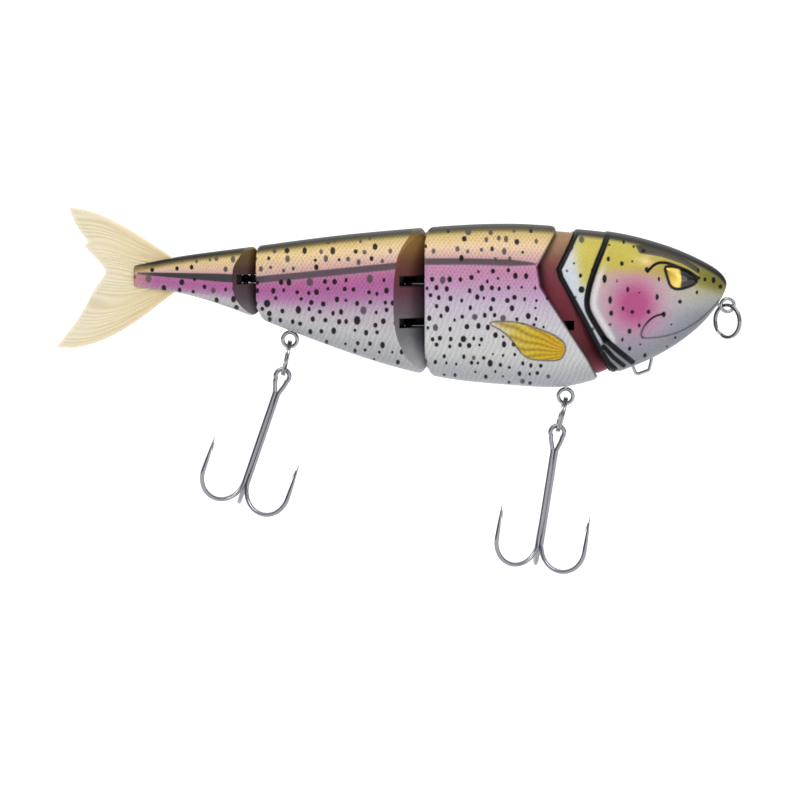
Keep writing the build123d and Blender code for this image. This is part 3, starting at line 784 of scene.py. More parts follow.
def body_colour(x, z, pitches):
    """Painted colour of the front, mid and rear sections."""
    scale = scales(x, z, *pitches)
    place = tone(x, z)
    front = ramp(place, BELOW_FRONT)
    rearness = np.clip((-84.0 - x) / 10.0, 0, 1)
    below = front + (ramp(place, BELOW_REAR) - front) * rearness[..., None]
    colour = over(below, ramp(place, ABOVE), smooth(0.49, 0.51, place))
    middle, height, _ = form(x)
    down = middle + height - z
    colour = over(colour, ramp(down, BACK_BAND), 1 - smooth(1.3, 2.8, down))
    lean = x - 0.42 * z
    streak = 0.5 + 0.5 * np.cos(2 * math.pi * lean / 1.5 + 0.8 * np.sin(0.9 * z + 0.35 * x))
    low_down = 1 - smooth(0.30, 0.42, place)
    net = 0.72 + 0.34 * scale
    slant = 0.87 + 0.07 * scale + 0.06 * streak * streak
    shade = net + (slant - net) * low_down
    colour = colour * shade[..., None]
    colour = over(colour, ramp(x, STRIPE), smooth(-0.3, 0.2, stripe_inside(x, z)))
    return spotted(colour, x, z, BODY_SPOTS, ("4b4246", "171214"))


def front_colour(x, z):
    """Painted colour of the front section, with its pectoral fin and dark edge."""
    colour = body_colour(x, z, FRONT_SCALES)
    into, rays = fin_fields(x, z)
    fin = over(ramp(x, FIN_COLOURS), "7d5f1c", 0.75 * (1 - rays))
    colour = over(colour, "6d6558", 0.7 * (1 - smooth(0.0, 0.45, np.abs(into + 0.1))))
    colour = over(colour, fin, smooth(-0.1, 0.2, into))
    colour = over(colour, "2c2024", 0.8 * drawn(x, z, FRONT_EDGE[1:-1], 0.2, 0.85))
    return over(colour, "8f8688", 0.5 * (1 - smooth(0.0, 0.5, x - FRONT_REAR_WALL_X)))


# Lines up the side behind which the joint's painted shade ends.
MID_COLLAR = [(-84.9, -19.0), (-91.0, -14.0), (-93.4, -5.0), (-93.5, 11.0), (-92.9, 14.2), (-91.6, 17.0),
              (-89.8, 19.5), (-88.6, 22.0)]
REAR_COLLAR = [(-134.0, -1.0), (-135.9, 0.7), (-138.4, 3.5), (-139.4, 7.7), (-138.9, 11.0), (-136.3, 15.4),
               (-135.3, 17.0)]


def collar_shade_over(colour, x, z, line):
    """Carries the joint's painted shade over the skin ahead of a line up the side."""
    edge = np.interp(z, [point[1] for point in line], [point[0] for point in line])
    return over(colour, 1.1 * joint_paint_and_shade(x, z), smooth(-0.15, 0.15, x - edge))


def mid_colour(x, z):
    """Painted colour of the mid section, with painted shade over its nose."""
    return collar_shade_over(body_colour(x, z, MID_SCALES), x, z, MID_COLLAR)


def rear_colour(x, z):
    """Painted colour of the rear section, with painted shade over its nose."""
    colour = body_colour(x, z, REAR_SCALES)
    colour = over(colour, "c9a678", 0.5 * np.clip((-161.0 - x) / 6.0, 0, 1))
    return collar_shade_over(colour, x, z, REAR_COLLAR)


def head_colour(x, z):
    """Painted colour of the head: dark back, yellow crown, pink cheek and grey jaw, with painted highlights
    on the cheek ridge and the brow.
    """
    middle, height, _ = form(x)
    down = middle + height - z
    nose = np.clip((x + 22.0) / 14.0, 0, 1)
    colour = over(ramp(z - middle, JAW_GREY), ramp(z, NOSE_GREY), nose)
    colour = over(colour, ramp(x, CROWN_YELLOW), smooth(-2.2, 1.6, z - np.interp(x, *CROWN_FOOT)))
    halo = swell(x, z, (-26.9, 1.0), 8.2, 8.2) * (1 - 0.8 * smooth(7.0, 12.5, z))
    colour = over(colour, "bb88a0", np.clip(1.1 * halo, 0, 0.85))
    cheek = swell(x, z, (-26.6, 0.8), 5.6, 6.0)
    colour = over(colour, "a54577", np.clip(1.15 * cheek, 0, 0.9))
    outer = smooth(0.0, 0.8, inside(x, z, GILL_PLATE))
    cheek_line = near_line(x, z, CHEEK_LINE)
    patch = 0.95 * smooth(-1.8, 2.2, np.interp(z, *PATCH_REACH) - cheek_line) * smooth(2.0, 8.0, z)
    colour = over(colour, over(ramp(z, PLATE_COLOURS), "bcae4e", patch), 0.95 * outer)
    # Painted highlight along the raised bevel on the nose side of the cheek line.
    bright = bump(cheek_line, 1.9, 0.9) * (1 - outer)
    colour = over(colour, "d3d8da", 0.7 * bright * (1 - smooth(8.0, 14.0, z)))
    # Painted highlight on the brow's bulge.
    colour = over(colour, "e3c98a", 0.85 * swell(x, z, (-23.2, 12.9), 2.6, 1.5))
    # Painted highlight along the brow ridge.
    colour = over(colour, "b7a25a", 0.7 * drawn(x, z, RIDGE_HIGHLIGHT, 0.3, 0.9))
    colour = over(colour, ramp(down, HEAD_BACK_BAND), 1 - smooth(1.3, 2.7, down))
    colour = over(colour, "3a3936", 0.88 * smooth(-0.15, 0.35, inside(x, z, BROW_WEDGE)))
    colour = over(colour, "777b81", 0.9 * smooth(-0.2, 0.4, inside(x, z, GILL_CORNER)))
    colour = spotted(colour, x, z, HEAD_SPOTS, ("4d4a4d", "171415"))
    lines = 0.8 * drawn(x, z, MOUTH_CORNER, 0.12, 0.4) * smooth(-7.5, -3.0, z)
    lines = np.maximum(lines, 0.95 * smooth(-0.65, -0.1, inside(x, z, EYE_OUTLINE)))
    for line, low, high, amount in HEAD_LINES:
        lines = np.maximum(lines, amount * drawn(x, z, line, low, high))
    return over(colour, "0e0f12", lines)


def joint_paint_and_shade(x, z):
    """Colour of the cut walls and noses at the joints: maroon paint at the head joint, and at the mid and
    rear joints the skin's bands darkened as painted shade.
    """
    head, mid, rear = (ramp(z, stops) for stops in (HEAD_WALL, MID_WALL, REAR_WALL))
    return np.where((x > -70)[..., None], head, np.where((x > -115)[..., None], mid, rear))


# Each slot's two ends along X, its height and how far out from the middle it is dark.
SLOT_PLACES = (
    (-60.0, -43.4, HEAD_SLOTS[0], 6.0), (-60.0, -43.4, HEAD_SLOTS[1], 12.0),
    (-92.4, -80.0, MID_SLOTS[0], 12.0), (-92.4, -80.0, MID_SLOTS[1], 12.0),
    (-138.0, -127.0, REAR_SLOT, 12.0),
)


def deep_shadow(x, y, z):
    """Darkens the slots, and the joint faces with depth under the skin."""
    depth = skin_depth(x, y, z)
    start = np.where(x > -70, 3.2, 3.0)
    shade = 0.3 + 0.7 * (1 - np.clip((depth - start) / 7.0, 0, 1))
    for low_x, high_x, height, outer in SLOT_PLACES:
        in_slot = (x > low_x) & (x < high_x) & (np.abs(z - height) < SLOT_HALF_HEIGHT + 0.02)
        in_slot &= np.abs(y) < outer
        shade = np.where(in_slot, 0.12, shade)
    return shade


# ---------------------------------------------------------------- body sections

SKIN_STEP = 0.17


def tongue_plan():
    """Plan of the head's tongue: a web from the front and a round end about the pin."""
    half_web = HEAD_WEB_HALF_WIDTH
    start = math.asin(half_web / HEAD_TONGUE_RADIUS)
    outline = arc(HEAD_PIN_X, HEAD_TONGUE_RADIUS, start, 2 * math.pi - 2 * start, 60)
    return outline + [(HEAD_WEB_FRONT_X, -half_web), (HEAD_WEB_FRONT_X, half_web)]


def mouth_plan():
    """Plan of the front section's mouth: the tongue's room to swing."""
    swing = math.radians(HEAD_YAW)
    half = (HEAD_WEB_HALF_WIDTH + JOINT_GAP) / math.cos(swing)
    flare = half + HEAD_MOUTH_LENGTH * math.tan(swing)
    front = HEAD_PIN_X + HEAD_MOUTH_LENGTH
    bowl = arc(HEAD_PIN_X, HEAD_TONGUE_RADIUS + JOINT_GAP, math.pi / 2, math.pi, 60)
    outline = [(HEAD_PIN_X, half)] + [(x - 0.001, y) for x, y in bowl]
    return outline + [(HEAD_PIN_X, -half), (front, -flare), (front, flare)]


def level_slit(shell, plan, height):
    """Cuts a level slit with a plan of its own."""
    boolean(shell, prism(plan, height - SLOT_HALF_HEIGHT, height + SLOT_HALF_HEIGHT, "Z"), "DIFFERENCE")


def eye_slot(shell, pin_x, eye_radius, reach, height):
    """Cuts a level slit past a joint pin, down to a round seat that hugs its wire eye."""
    side = 1 if reach > 0 else -1
    mouth, floor_x = pin_x - side * SLIT_MOUTH, pin_x + reach
    radius = eye_radius + EYE_SEAT_GAP
    seat = arc(pin_x, side * radius, side * SEAT_HALF_ANGLE, -2 * side * SEAT_HALF_ANGLE, 12)
    wide = SLIT_HALF_WIDTH
    plan = [(mouth, -wide), (mouth, wide), (floor_x, wide), (floor_x, radius)] + seat
    level_slit(shell, plan + [(floor_x, -radius), (floor_x, -wide)], height)


def keep_side(obj, outline):
    """Keeps what lies inside an outline in side view."""
    boolean(obj, prism(outline, -SIDE_CUT_REACH, SIDE_CUT_REACH, "Y", 0.7), "INTERSECT")


def keep_plan(obj, outline):
    """Keeps what lies inside an outline in plan."""
    boolean(obj, prism(outline, -PLAN_CUT_REACH, PLAN_CUT_REACH, "Z", 0.6), "INTERSECT")


def nose_room(shell, pin_x, radius, crease):
    """Cuts the room that the next section's nose sweeps."""
    for turn in (-BODY_YAW, 0.0, BODY_YAW):
        plan = flared_nose(pin_x, radius + JOINT_GAP, crease, turn)
        boolean(shell, prism(plan, -PLAN_CUT_REACH, PLAN_CUT_REACH, "Z", 0.6), "DIFFERENCE")


def build_head():
    """The right half of the head, with its tongue and its two slots."""
    shell = half_body("head", HEAD_BLANK_REAR_X, NOSE_TIP[0], SKIN_STEP, head_relief)
    keep_side(shell, HEAD_REGION)
    tongue = whole_body(-60, -22, HEAD_TONGUE_INSET)
    keep_side(tongue, TONGUE_REGION)
    for turn in (-HEAD_YAW, HEAD_YAW):
        boolean(tongue, whole_body(-75, -15, HEAD_SWING_INSET, turn, HEAD_PIN_X), "INTERSECT")
    keep_plan(tongue, tongue_plan())
    right_half = [(-70, -30), (0, -30), (0, 30), (-70, 30)]
    boolean(tongue, prism(right_half, -SIDE_CUT_REACH, -SEAM, "Y", 2.0), "INTERSECT")
    use_slot(tongue.data, 1)
    boolean(shell, tongue, "UNION")
    upper, lower = HEAD_SLOTS
    eye_slot(shell, HEAD_PIN_X, *HEAD_SEAT, lower)
    flare = HEAD_SLOT_MOUTH * math.tan(math.radians(HEAD_YAW)) + 1.6
    rear = HEAD_PIN_X - HEAD_SLOT_MOUTH
    floor_x, half_floor = HEAD_UPPER_SLOT_FLOOR
    level_slit(shell, [(rear, -flare), (rear, flare), (floor_x, half_floor), (floor_x, -half_floor)], upper)
    return shell


def build_front():
    """The right half of the front section, with its mouth for the head's tongue."""
    shell = half_body("front", FRONT_REAR_WALL_X, FRONT_BLANK_FRONT_X, SKIN_STEP, front_relief)
    keep_side(shell, FRONT_REGION)
    mouth = whole_body(-64, -22, HEAD_MOUTH_INSET)
    keep_plan(mouth, mouth_plan())
    keep_side(mouth, MOUTH_REGION)
    use_slot(mouth.data, 1)
    boolean(shell, mouth, "DIFFERENCE")
    nose_room(shell, MID_PIN_X, MID_NOSE_RADIUS, MID_CREASE)
    return shell


def build_mid():
    """The right half of the mid section, with its nose and its two slots."""
    shell = half_body("mid", MID_REAR_WALL_X, MID_BLANK_FRONT_X, SKIN_STEP, mid_relief)
    keep_plan(shell, flared_nose(MID_PIN_X, MID_NOSE_RADIUS, MID_CREASE))
    for height in MID_SLOTS:
        eye_slot(shell, MID_PIN_X, *MID_SEAT, height)
    nose_room(shell, REAR_PIN_X, REAR_NOSE_RADIUS, REAR_CREASE)
    return shell


def build_rear():
    """The right half of the rear section, with its nose, its slot and the tail's slot."""
    shell = half_body("rear", REAR_END_X, REAR_BLANK_FRONT_X, SKIN_STEP * 0.8, rear_relief)
    keep_plan(shell, flared_nose(REAR_PIN_X, REAR_NOSE_RADIUS, REAR_CREASE))
    eye_slot(shell, REAR_PIN_X, *REAR_SEAT, REAR_SLOT)
    boolean(shell, prism(TAIL_SLOT, -TAIL_SLOT_HALF_WIDTH, TAIL_SLOT_HALF_WIDTH, "Y"), "DIFFERENCE")
    return shell


def dress(obj, body, cad_node, finish=None):
    """Gives a piece its finish if one is given, ties it to its body and hides the CAD node it stands for."""
    if finish:
        obj.data.materials.append(finish)
    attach(obj, body)
    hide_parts(cad_node)


def finish_section(build, nodes, body, slot, colour):
    """Builds and paints one half of a section, mirrors it and ties both halves to their body."""
    shell = build()
    name = nodes + "_skin"
    points = points_of(shell)
    x, y, z = points.T
    store_colour(shell, "skin_colour", colour(x, z))
    # The joint faces get painted shade: darker with depth under the skin and in the slots.
    store_colour(shell, "wall_paint_and_shade", joint_paint_and_shade(x, z) * deep_shadow(x, y, z)[:, None])
    shell.data.materials[0] = painted_skin(name + "_paint")
    shell.data.materials[1] = painted_wall(name + "_inner_paint")
    smooth_shade(shell.data, 35)
    shell.name = name + "_right"
    shell.data.name = name + "_right"
    dress(shell, body, nodes + "_right")
    dress(mirrored(shell, name + "_left"), body, nodes + "_left")


# ---------------------------------------------------------------- materials

def set_inputs(node, values):
    """Sets sockets of a node by their names."""
    for key, value in values.items():
        node.inputs[key].default_value = value


def material(name, values):
    """A new material with its node tree and its shader, with some of the shader's values set."""
    made = bpy.data.materials.new(name)
    made.use_nodes = True
    tree = made.node_tree
    shader = tree.nodes["Principled BSDF"]
    set_inputs(shader, values)
    return made, tree, shader


def link(tree, source, target):
    """Joins one node's output to another's input."""
    tree.links.new(source, target)


def object_noise(tree, scale, detail):
    """Noise over a piece's own coordinates, so that it doesn't depend on a mapping."""
    place = tree.nodes.new("ShaderNodeTexCoord")
    noise = tree.nodes.new("ShaderNodeTexNoise")
    set_inputs(noise, {"Scale": scale, "Detail": detail, "Roughness": 0.6})
    link(tree, place.outputs["Object"], noise.inputs["Vector"])
    return noise.outputs["Fac"]


def spread(tree, source, values, steps="LINEAR"):
    """Carries a value from one range to another."""
    made = tree.nodes.new("ShaderNodeMapRange")
    made.interpolation_type = steps
    set_inputs(made, dict(zip(("To Min", "To Max", "From Min", "From Max"), values)))
    link(tree, source, made.inputs["Value"])
    return made.outputs["Result"]


def mottled(tree, shader, attribute, factor):
    """Takes the base colour from a stored colour, made lighter and darker by a factor."""
    colour = tree.nodes.new("ShaderNodeAttribute")
    colour.attribute_name = attribute
    product = tree.nodes.new("ShaderNodeVectorMath")
    product.operation = "SCALE"
    link(tree, colour.outputs["Color"], product.inputs[0])
    link(tree, factor, product.inputs["Scale"])
    link(tree, product.outputs["Vector"], shader.inputs["Base Color"])


def grained(tree, shader, height, strength, distance):
    """Gives a shader a fine bump."""
    made = tree.nodes.new("ShaderNodeBump")
    set_inputs(made, {"Strength": strength, "Distance": distance})
    link(tree, height, made.inputs["Height"])
    link(tree, made.outputs["Normal"], shader.inputs["Normal"])


def painted_skin(name):
    """Airbrushed paint under a clear coat, with fine mottling and a soft glint."""
    made, tree, shader = material(name, {
        "Roughness": 0.4, "Specular IOR Level": 0.12, "Metallic": 0.08,
        "Coat Weight": 0.03, "Coat Roughness": 0.1})
    fine = object_noise(tree, 2600.0, 2.0)
    mottled(tree, shader, "skin_colour", spread(tree, fine, (0.71, 0.89, 0.3, 0.7)))
    grained(tree, shader, object_noise(tree, 1500.0, 2.0), 0.12, 0.00006)
    return made


def painted_wall(name):
    """Paint on the faces inside the joints, with painted shade deeper under the skin and in the slots."""
    made, tree, shader = material(name, {
        "Roughness": 0.42, "Specular IOR Level": 0.1, "Coat Weight": 0.04, "Coat Roughness": 0.15})
    mottled(tree, shader, "wall_paint_and_shade", spread(tree, object_noise(tree, 420.0, 4.0), (0.74, 1.08)))
    return made


def metal(name, colour, roughness):
    """Plated wire with faint drawing marks."""
    made, tree, shader = material(name, {
        "Metallic": 1.0, "Base Color": (*to_linear(tint(colour)), 1.0)})
    marks = object_noise(tree, 900.0, 3.0)
    rough = spread(tree, marks, (max(roughness - 0.05, 0.02), roughness + 0.05))
    link(tree, rough, shader.inputs["Roughness"])
    return made


def eye_material():
    """Gold and black foil under a clear lens."""
    made, tree, shader = material("eye_lens", {
        "Roughness": 0.25, "Metallic": 0.35, "Coat Weight": 0.35, "Coat Roughness": 0.04})
    mottled(tree, shader, "eye_colour", spread(tree, object_noise(tree, 3000.0, 2.0), (0.85, 1.15)))
    return made


def tail_material():
    """Soft cream plastic that lets some light through."""
    made, tree, shader = material("soft_tail", {
        "Roughness": 0.38, "Subsurface Weight": 0.3, "Subsurface Radius": (1.0, 0.7, 0.35),
        "Subsurface Scale": 0.0016, "Coat Weight": 0.2, "Coat Roughness": 0.2})
    colour = tree.nodes.new("ShaderNodeAttribute")
    colour.attribute_name = "tail_colour"
    link(tree, colour.outputs["Color"], shader.inputs["Base Color"])
    grained(tree, shader, object_noise(tree, 700.0, 4.0), 0.15, 0.0001)
    return made


# ---------------------------------------------------------------- wires

def tube(name, path, radii, sides=24, closed=False):
    """A wire along a path of points in millimetres, with its own radius at each point."""
    path = np.asarray(path, float)
    count = len(path)
    radii = np.broadcast_to(np.asarray(radii, float), (count,))
    if closed:
        tangent = np.roll(path, -1, 0) - np.roll(path, 1, 0)
    else:
        tangent = np.gradient(path, axis=0)
    tangent /= np.linalg.norm(tangent, axis=1, keepdims=True)
    side = np.array([0.0, 1.0, 0.0]) if abs(tangent[0][1]) < 0.9 else np.array([1.0, 0.0, 0.0])
    side = side - tangent[0] * np.dot(side, tangent[0])
    side /= np.linalg.norm(side)
    turn = np.linspace(0, 2 * math.pi, sides, endpoint=False)[:, None]
    rings = []
    for point, here, radius in zip(path, tangent, radii):
        side = side - here * np.dot(side, here)
        side /= np.linalg.norm(side)
        rings.append(point + radius * (np.cos(turn) * side + np.sin(turn) * np.cross(here, side)))
    if closed:
        faces = grid_faces(count, sides, closed=True)
        last = (count - 1) * sides
        for i in range(sides):
            after = (i + 1) % sides
            faces.append((last + i, last + after, after, i))
    else:
        faces = rod_faces(count, sides)
    return solid(name, np.concatenate(rings), faces, 40)


def join(objects, name):
    """Joins meshes into a new one."""
    work = bmesh.new()
    for obj in objects:
        work.from_mesh(obj.data)
    mesh = bpy.data.meshes.new(name)
    work.to_mesh(mesh)
    work.free()
    for obj in objects:
        bpy.data.objects.remove(obj)
    smooth_shade(mesh, 40)
    return linked(name, mesh)


def place(obj, origin, tilt=0.0, turn=0.0):
    """Tilts a piece about Y, turns it about Z and moves it, all in its mesh."""
    x, y, z = points_of(obj).T
    x, z = turned(x, z, -tilt)
    x, y = turned(x, y, turn)
    placed = np.stack([x + origin[0], y, z + origin[1]], axis=1)
    obj.data.vertices.foreach_set("co", (placed * MM).ravel())
    obj.data.update()


# Ring radius, half the wire's radial and axial size over both turns, and corner rounding.
HOOK_RING_SIZE = (4.6, 0.52, 0.62, 0.13)
LINE_RING_SIZE = (4.55, 0.44, 0.47, 0.13)
RING_GAP = 0.30              # angle between a turn's end and the other turn's, in radians


def split_ring(name, top, tilt, turn, open_at, radius, radial_half, axial_half, corner):
    """A split ring: two turns of flat wire side by side, crossing over between their ends."""
    leaf = axial_half / 2
    turns = np.linspace(RING_GAP, 4 * math.pi - RING_GAP, 420)
    cross = smooth(2 * math.pi - 0.9 * RING_GAP, 2 * math.pi + 0.9 * RING_GAP, turns)
    axial = -leaf + 2 * leaf * cross
    half_axial = leaf * 0.97
    outline = []
    for cx, cy, start in ((1, 1, 0), (-1, 1, 90), (-1, -1, 180), (1, -1, 270)):
        for step in range(5):
            angle = math.radians(start + step * 22.5)
            outline.append((cx * (radial_half - corner) + corner * math.cos(angle),
                            cy * (half_axial - corner) + corner * math.sin(angle)))
    verts = []
    for angle, offset in zip(turns, axial):
        taper = min(1.0, 0.35 + 1.6 * min(angle - turns[0], turns[-1] - angle))
        direction = angle + open_at
        for radial, along in outline:
            reach = radius + radial * (0.75 + 0.25 * taper)
            verts.append((offset + along * taper, reach * math.sin(direction),
                          -radius + reach * math.cos(direction)))
    obj = solid(name, verts, rod_faces(len(turns), len(outline)), 35)
    place(obj, top, tilt, turn)
    return obj


TREBLE_WIRE = 0.62
TREBLE_SHANK_END = 31.6
TREBLE_BEND = 6.9
TREBLE_RISE = 10.2
TREBLE_EYE_RADIUS = 1.95
BARB_DROP = 4.6              # from the point down to the barb's root


def hook_arm(angle):
    """One wire of the treble: shank, round bend and long tapered point with its barb."""
    spread_x = TREBLE_WIRE * 0.95
    path = [(spread_x, -z) for z in np.linspace(5.0, TREBLE_SHANK_END, 40)]
    for turn in np.linspace(0, math.pi, 60)[1:]:
        path.append((spread_x + TREBLE_BEND - TREBLE_BEND * math.cos(turn),
                     -TREBLE_SHANK_END - TREBLE_BEND * math.sin(turn)))
    tip_x = spread_x + 2 * TREBLE_BEND
    for rise in np.linspace(0, TREBLE_RISE, 50)[1:]:
        path.append((tip_x, -TREBLE_SHANK_END + rise))
    path = np.array(path)
    rise = np.where(path[:, 0] > tip_x - 0.01, path[:, 1] + TREBLE_SHANK_END, 0)
    share = np.clip(rise / TREBLE_RISE, 0, 1)
    points = np.stack([path[:, 0], np.zeros(len(path)), path[:, 1]], axis=1)
    arm = tube("arm", points, TREBLE_WIRE * (1 - share ** 1.5 * 0.94))
    barb_z = -TREBLE_SHANK_END + (TREBLE_RISE - BARB_DROP)
    parts = np.linspace(0, 1, 12)
    barb_path = [(tip_x - 0.30 - 0.50 * (1 - part) ** 1.3, 0, barb_z + 2.6 * part) for part in parts]
    barb = tube("barb", barb_path, 0.05 + 0.17 * parts ** 0.8, 12)
    for piece in (arm, barb):
        place(piece, (0, 0), 0, angle)
    return [arm, barb]


def treble(name, eye, tilt):
    """A treble hook: a closed wire eye, three brazed shanks and three bends."""
    start = math.radians(-36)
    end_x, end_z = TREBLE_EYE_RADIUS * math.cos(start), TREBLE_EYE_RADIUS * math.sin(start)
    neck = [(0.42, -7.0), (0.46, -6.0)]
    for part in np.linspace(0, 1, 16)[1:]:
        neck.append((0.46 + (end_x - 0.46) * smooth(0, 1, part), -6.0 + (end_z + 6.0) * part))
    ring = [(TREBLE_EYE_RADIUS * math.cos(turn), TREBLE_EYE_RADIUS * math.sin(turn))
            for turn in np.linspace(start, math.pi - start, 60)[1:]]
    loop = neck + ring + [(-x, z) for x, z in neck[-2::-1]]
    pieces = [tube("loop", [(x, 0, z) for x, z in loop], TREBLE_WIRE)]
    for angle in (90, 210, 330):
        pieces += hook_arm(angle)
    fillet = [(0, 0, z) for z in np.linspace(-6.0, -TREBLE_SHANK_END + 1.5, 30)]
    share = np.linspace(-1, 1, 30)
    pieces.append(tube("braze", fillet, 0.55 + 0.28 * np.sqrt(np.clip(1 - share ** 4, 0, 1)), 20))
    hook = join(pieces, name)
    place(hook, eye, tilt)
    return hook


def joint_eye(name, pin_x, pin_radius, height, wire, shank_end):
    """A wire eye of two turns lying flat round a joint pin, on a flat shank."""
    radius = pin_radius + EYE_PIN_GAP + wire
    turn = np.linspace(0, 2 * math.pi, 64, endpoint=False)
    pieces = []
    for level in (-0.9 * wire, 0.9 * wire):
        ring = [(pin_x + radius * math.cos(a), radius * math.sin(a), height + level) for a in turn]
        pieces.append(tube("turn", ring, wire, 20, closed=True))
    low_x, high_x = sorted((pin_x + math.copysign(radius, shank_end - pin_x), shank_end))
    low, high = height - SHANK_HALF_HEIGHT, height + SHANK_HALF_HEIGHT
    flat = [(low_x, low), (high_x, low), (high_x, high), (low_x, high)]
    pieces.append(prism(flat, -SHANK_HALF_WIDTH, SHANK_HALF_WIDTH, "Y", 1.0))
    return join(pieces, name)


# ---------------------------------------------------------------- eyes and tail

def skin_y(x, z, inset):
    """Half width of the body at a point in side view."""
    middle, height, width = form(x, inset)
    up = np.clip(np.abs(z - middle) / height, 0, 0.999)
    return width * (1 - up ** SECTION_POWER) ** (1 / SECTION_POWER)


# Gold of the eye's foil along X, darker brown towards its rear edge as painted shade.
EYE_GOLD = [(-18.5, "8a6a1c"), (-16.5, "c9a93c"), (-14.6, "dcc45e"), (-13.2, "b8962f")]


def eye_lens(name, side):
    """A domed lens set into the head."""
    outline = np.array(resample(EYE_OUTLINE, 0.25))
    centre = outline.mean(axis=0)

    def ring(share, inset):
        points = centre + (outline - centre) * share
        y = skin_y(points[:, 0], points[:, 1], inset)
        return np.stack([points[:, 0], side * y, points[:, 1]], axis=1)

    rings = 26
    count = len(outline)
    verts = [ring(1.0, 1.1)]
    for share in np.linspace(0, 1, rings)[:0:-1]:
        verts.append(ring(share, 0.55 - 0.78 * (1 - share ** 2.6)))
    verts.append([[centre[0], side * skin_y(centre[0], centre[1], -0.23), centre[1]]])
    faces = grid_faces(rings, count, closed=True)
    last = (rings - 1) * count
    for i in range(count):
        faces.append((last + i, last + (i + 1) % count, last + count))
    faces.append(tuple(range(count)))
    obj = solid(name, np.concatenate(verts), faces, 50)
    x, _, z = points_of(obj).T
    pupil = smooth(-13.7, -13.1, x + 0.05 * (z - 7.5) ** 2)
    colour = over(ramp(x, EYE_GOLD), "0d0c0b", pupil)
    rim = inside(x, z, EYE_OUTLINE)
    store_colour(obj, "eye_colour", over(colour, "2e1f12", 1 - smooth(0.15, 0.6, rim)))
    return obj


TAIL_BOTTOM = [(-155.2, 3.9), (-159.3, 0.9), (-167.2, -5.3), (-175.1, -9.7), (-183.0, -12.1),
               (-189.0, -11.95)]
TAIL_TOP = [(-154.9, 12.2), (-156.8, 13.9), (-161.6, 17.1), (-171.2, 23.2), (-179.1, 26.7), (-185.1, 27.6)]
TAIL_EDGE = [(-189.0, -11.95), (-184.5, -6.2), (-181.2, -1.6), (-178.6, 3.9), (-174.9, 9.0), (-175.0, 10.2),
             (-177.6, 13.2), (-180.7, 16.5), (-181.2, 17.1), (-179.9, 17.4), (-179.8, 17.9), (-182.6, 21.6),
             (-184.3, 25.0), (-185.1, 27.6)]
TAIL_ROOT = [(-155.2, 3.9), (-154.9, 12.2)]
TAIL_COLOURS = [(0.0, "b39b70"), (0.25, "c0ae88"), (0.5, "c6b896"), (0.8, "c9bfa4"), (1.0, "c8c2b0")]


def along_line(line, shares):
    """Points at shares of the way along a rounded broken line."""
    points = np.array(rounded(line))
    run = np.concatenate([[0], np.cumsum(np.hypot(*np.diff(points, axis=0).T))])
    run /= run[-1]
    return np.stack([np.interp(shares, run, points[:, i]) for i in range(2)], axis=-1)


def tail():
    """The soft forked tail: a thin ribbed plate, one piece from its root in the body to its tips."""
    rows, columns = ((230, 190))
    along, across = np.meshgrid(np.linspace(0, 1, rows), np.linspace(0, 1, columns), indexing="ij")
    bottom, top = along_line(TAIL_BOTTOM, along[:, 0]), along_line(TAIL_TOP, along[:, 0])
    root, edge = along_line(TAIL_ROOT, across[0]), along_line(TAIL_EDGE, across[0])
    s, t = along[..., None], across[..., None]
    corners = ((1 - s) * (1 - t) * bottom[0], (1 - s) * t * top[0], s * (1 - t) * bottom[-1], s * t * top[-1])
    flat = (1 - t) * bottom[:, None] + t * top[:, None] + (1 - s) * root[None] + s * edge[None]
    for corner in corners:
        flat = flat - corner
    x, z = flat[..., 0], flat[..., 1]
    outline = rounded(TAIL_BOTTOM) + rounded(TAIL_EDGE) + rounded(TAIL_TOP)[::-1]
    distance = near_line(x, z, outline + [outline[0]])
    thick = np.interp(-x, [150, 170, 192], [0.88, 0.88, 0.43])
    fork = smooth(0.35, 0.75, along)
    wave = (across * 17 + 0.12 * np.sin(9 * along + 5 * across)
            + 0.5 * np.sin(11 * across) + 0.3 * np.sin(29 * across))
    rays = (1 - fork) * np.cos(2 * math.pi * wave) + fork * np.cos(4 * math.pi * wave)
    joints_on_rays = 0.5 + 0.5 * np.cos(2 * math.pi * (along * 26 + 0.3 * np.sin(wave * 5)))
    shown = smooth(0.12, 0.4, along)
    rib = 0.09 * rays * shown * smooth(0.3, 1.4, distance)
    round_edge = np.sqrt(np.clip(1 - (1 - np.clip(distance / 0.7, 0, 1)) ** 2, 0, 1))
    half = (thick - 0.1) * (0.22 + 0.78 * round_edge) + rib
    sheets = [np.stack([x, y, z], axis=-1).reshape(-1, 3) for y in (-half, half)]
    shift = rows * columns
    faces = grid_faces(rows, columns) + grid_faces(rows, columns, start=shift)
    numbers = np.arange(shift).reshape(rows, columns)
    sides = (numbers[:, 0], numbers[-1, 1:], numbers[-2::-1, -1], numbers[0, -2:0:-1])
    rim = np.concatenate(sides).tolist()
    for a, b in zip(rim, rim[1:] + rim[:1]):
        faces.append((a, b, b + shift, a + shift))
    obj = solid("soft_tail", np.concatenate(sheets), faces, 60)
    colour = ramp(along, TAIL_COLOURS)
    uneven = 0.5 + 0.5 * np.sin(17 * across + 6 * along) * np.sin(5 * across - 3 * along)
    colour = over(colour, "a89263", 0.4 * (0.5 - 0.5 * rays) * shown * (0.35 + 0.65 * uneven))
    colour = over(colour, "d6cbab", 0.15 * joints_on_rays * shown)
    colour = over(colour, "d9cfb2", 0.35 * (1 - smooth(0.2, 1.2, distance)))
    store_colour(obj, "tail_colour", np.concatenate([colour.reshape(-1, 3)] * 2))
    return obj


# ---------------------------------------------------------------- assembly

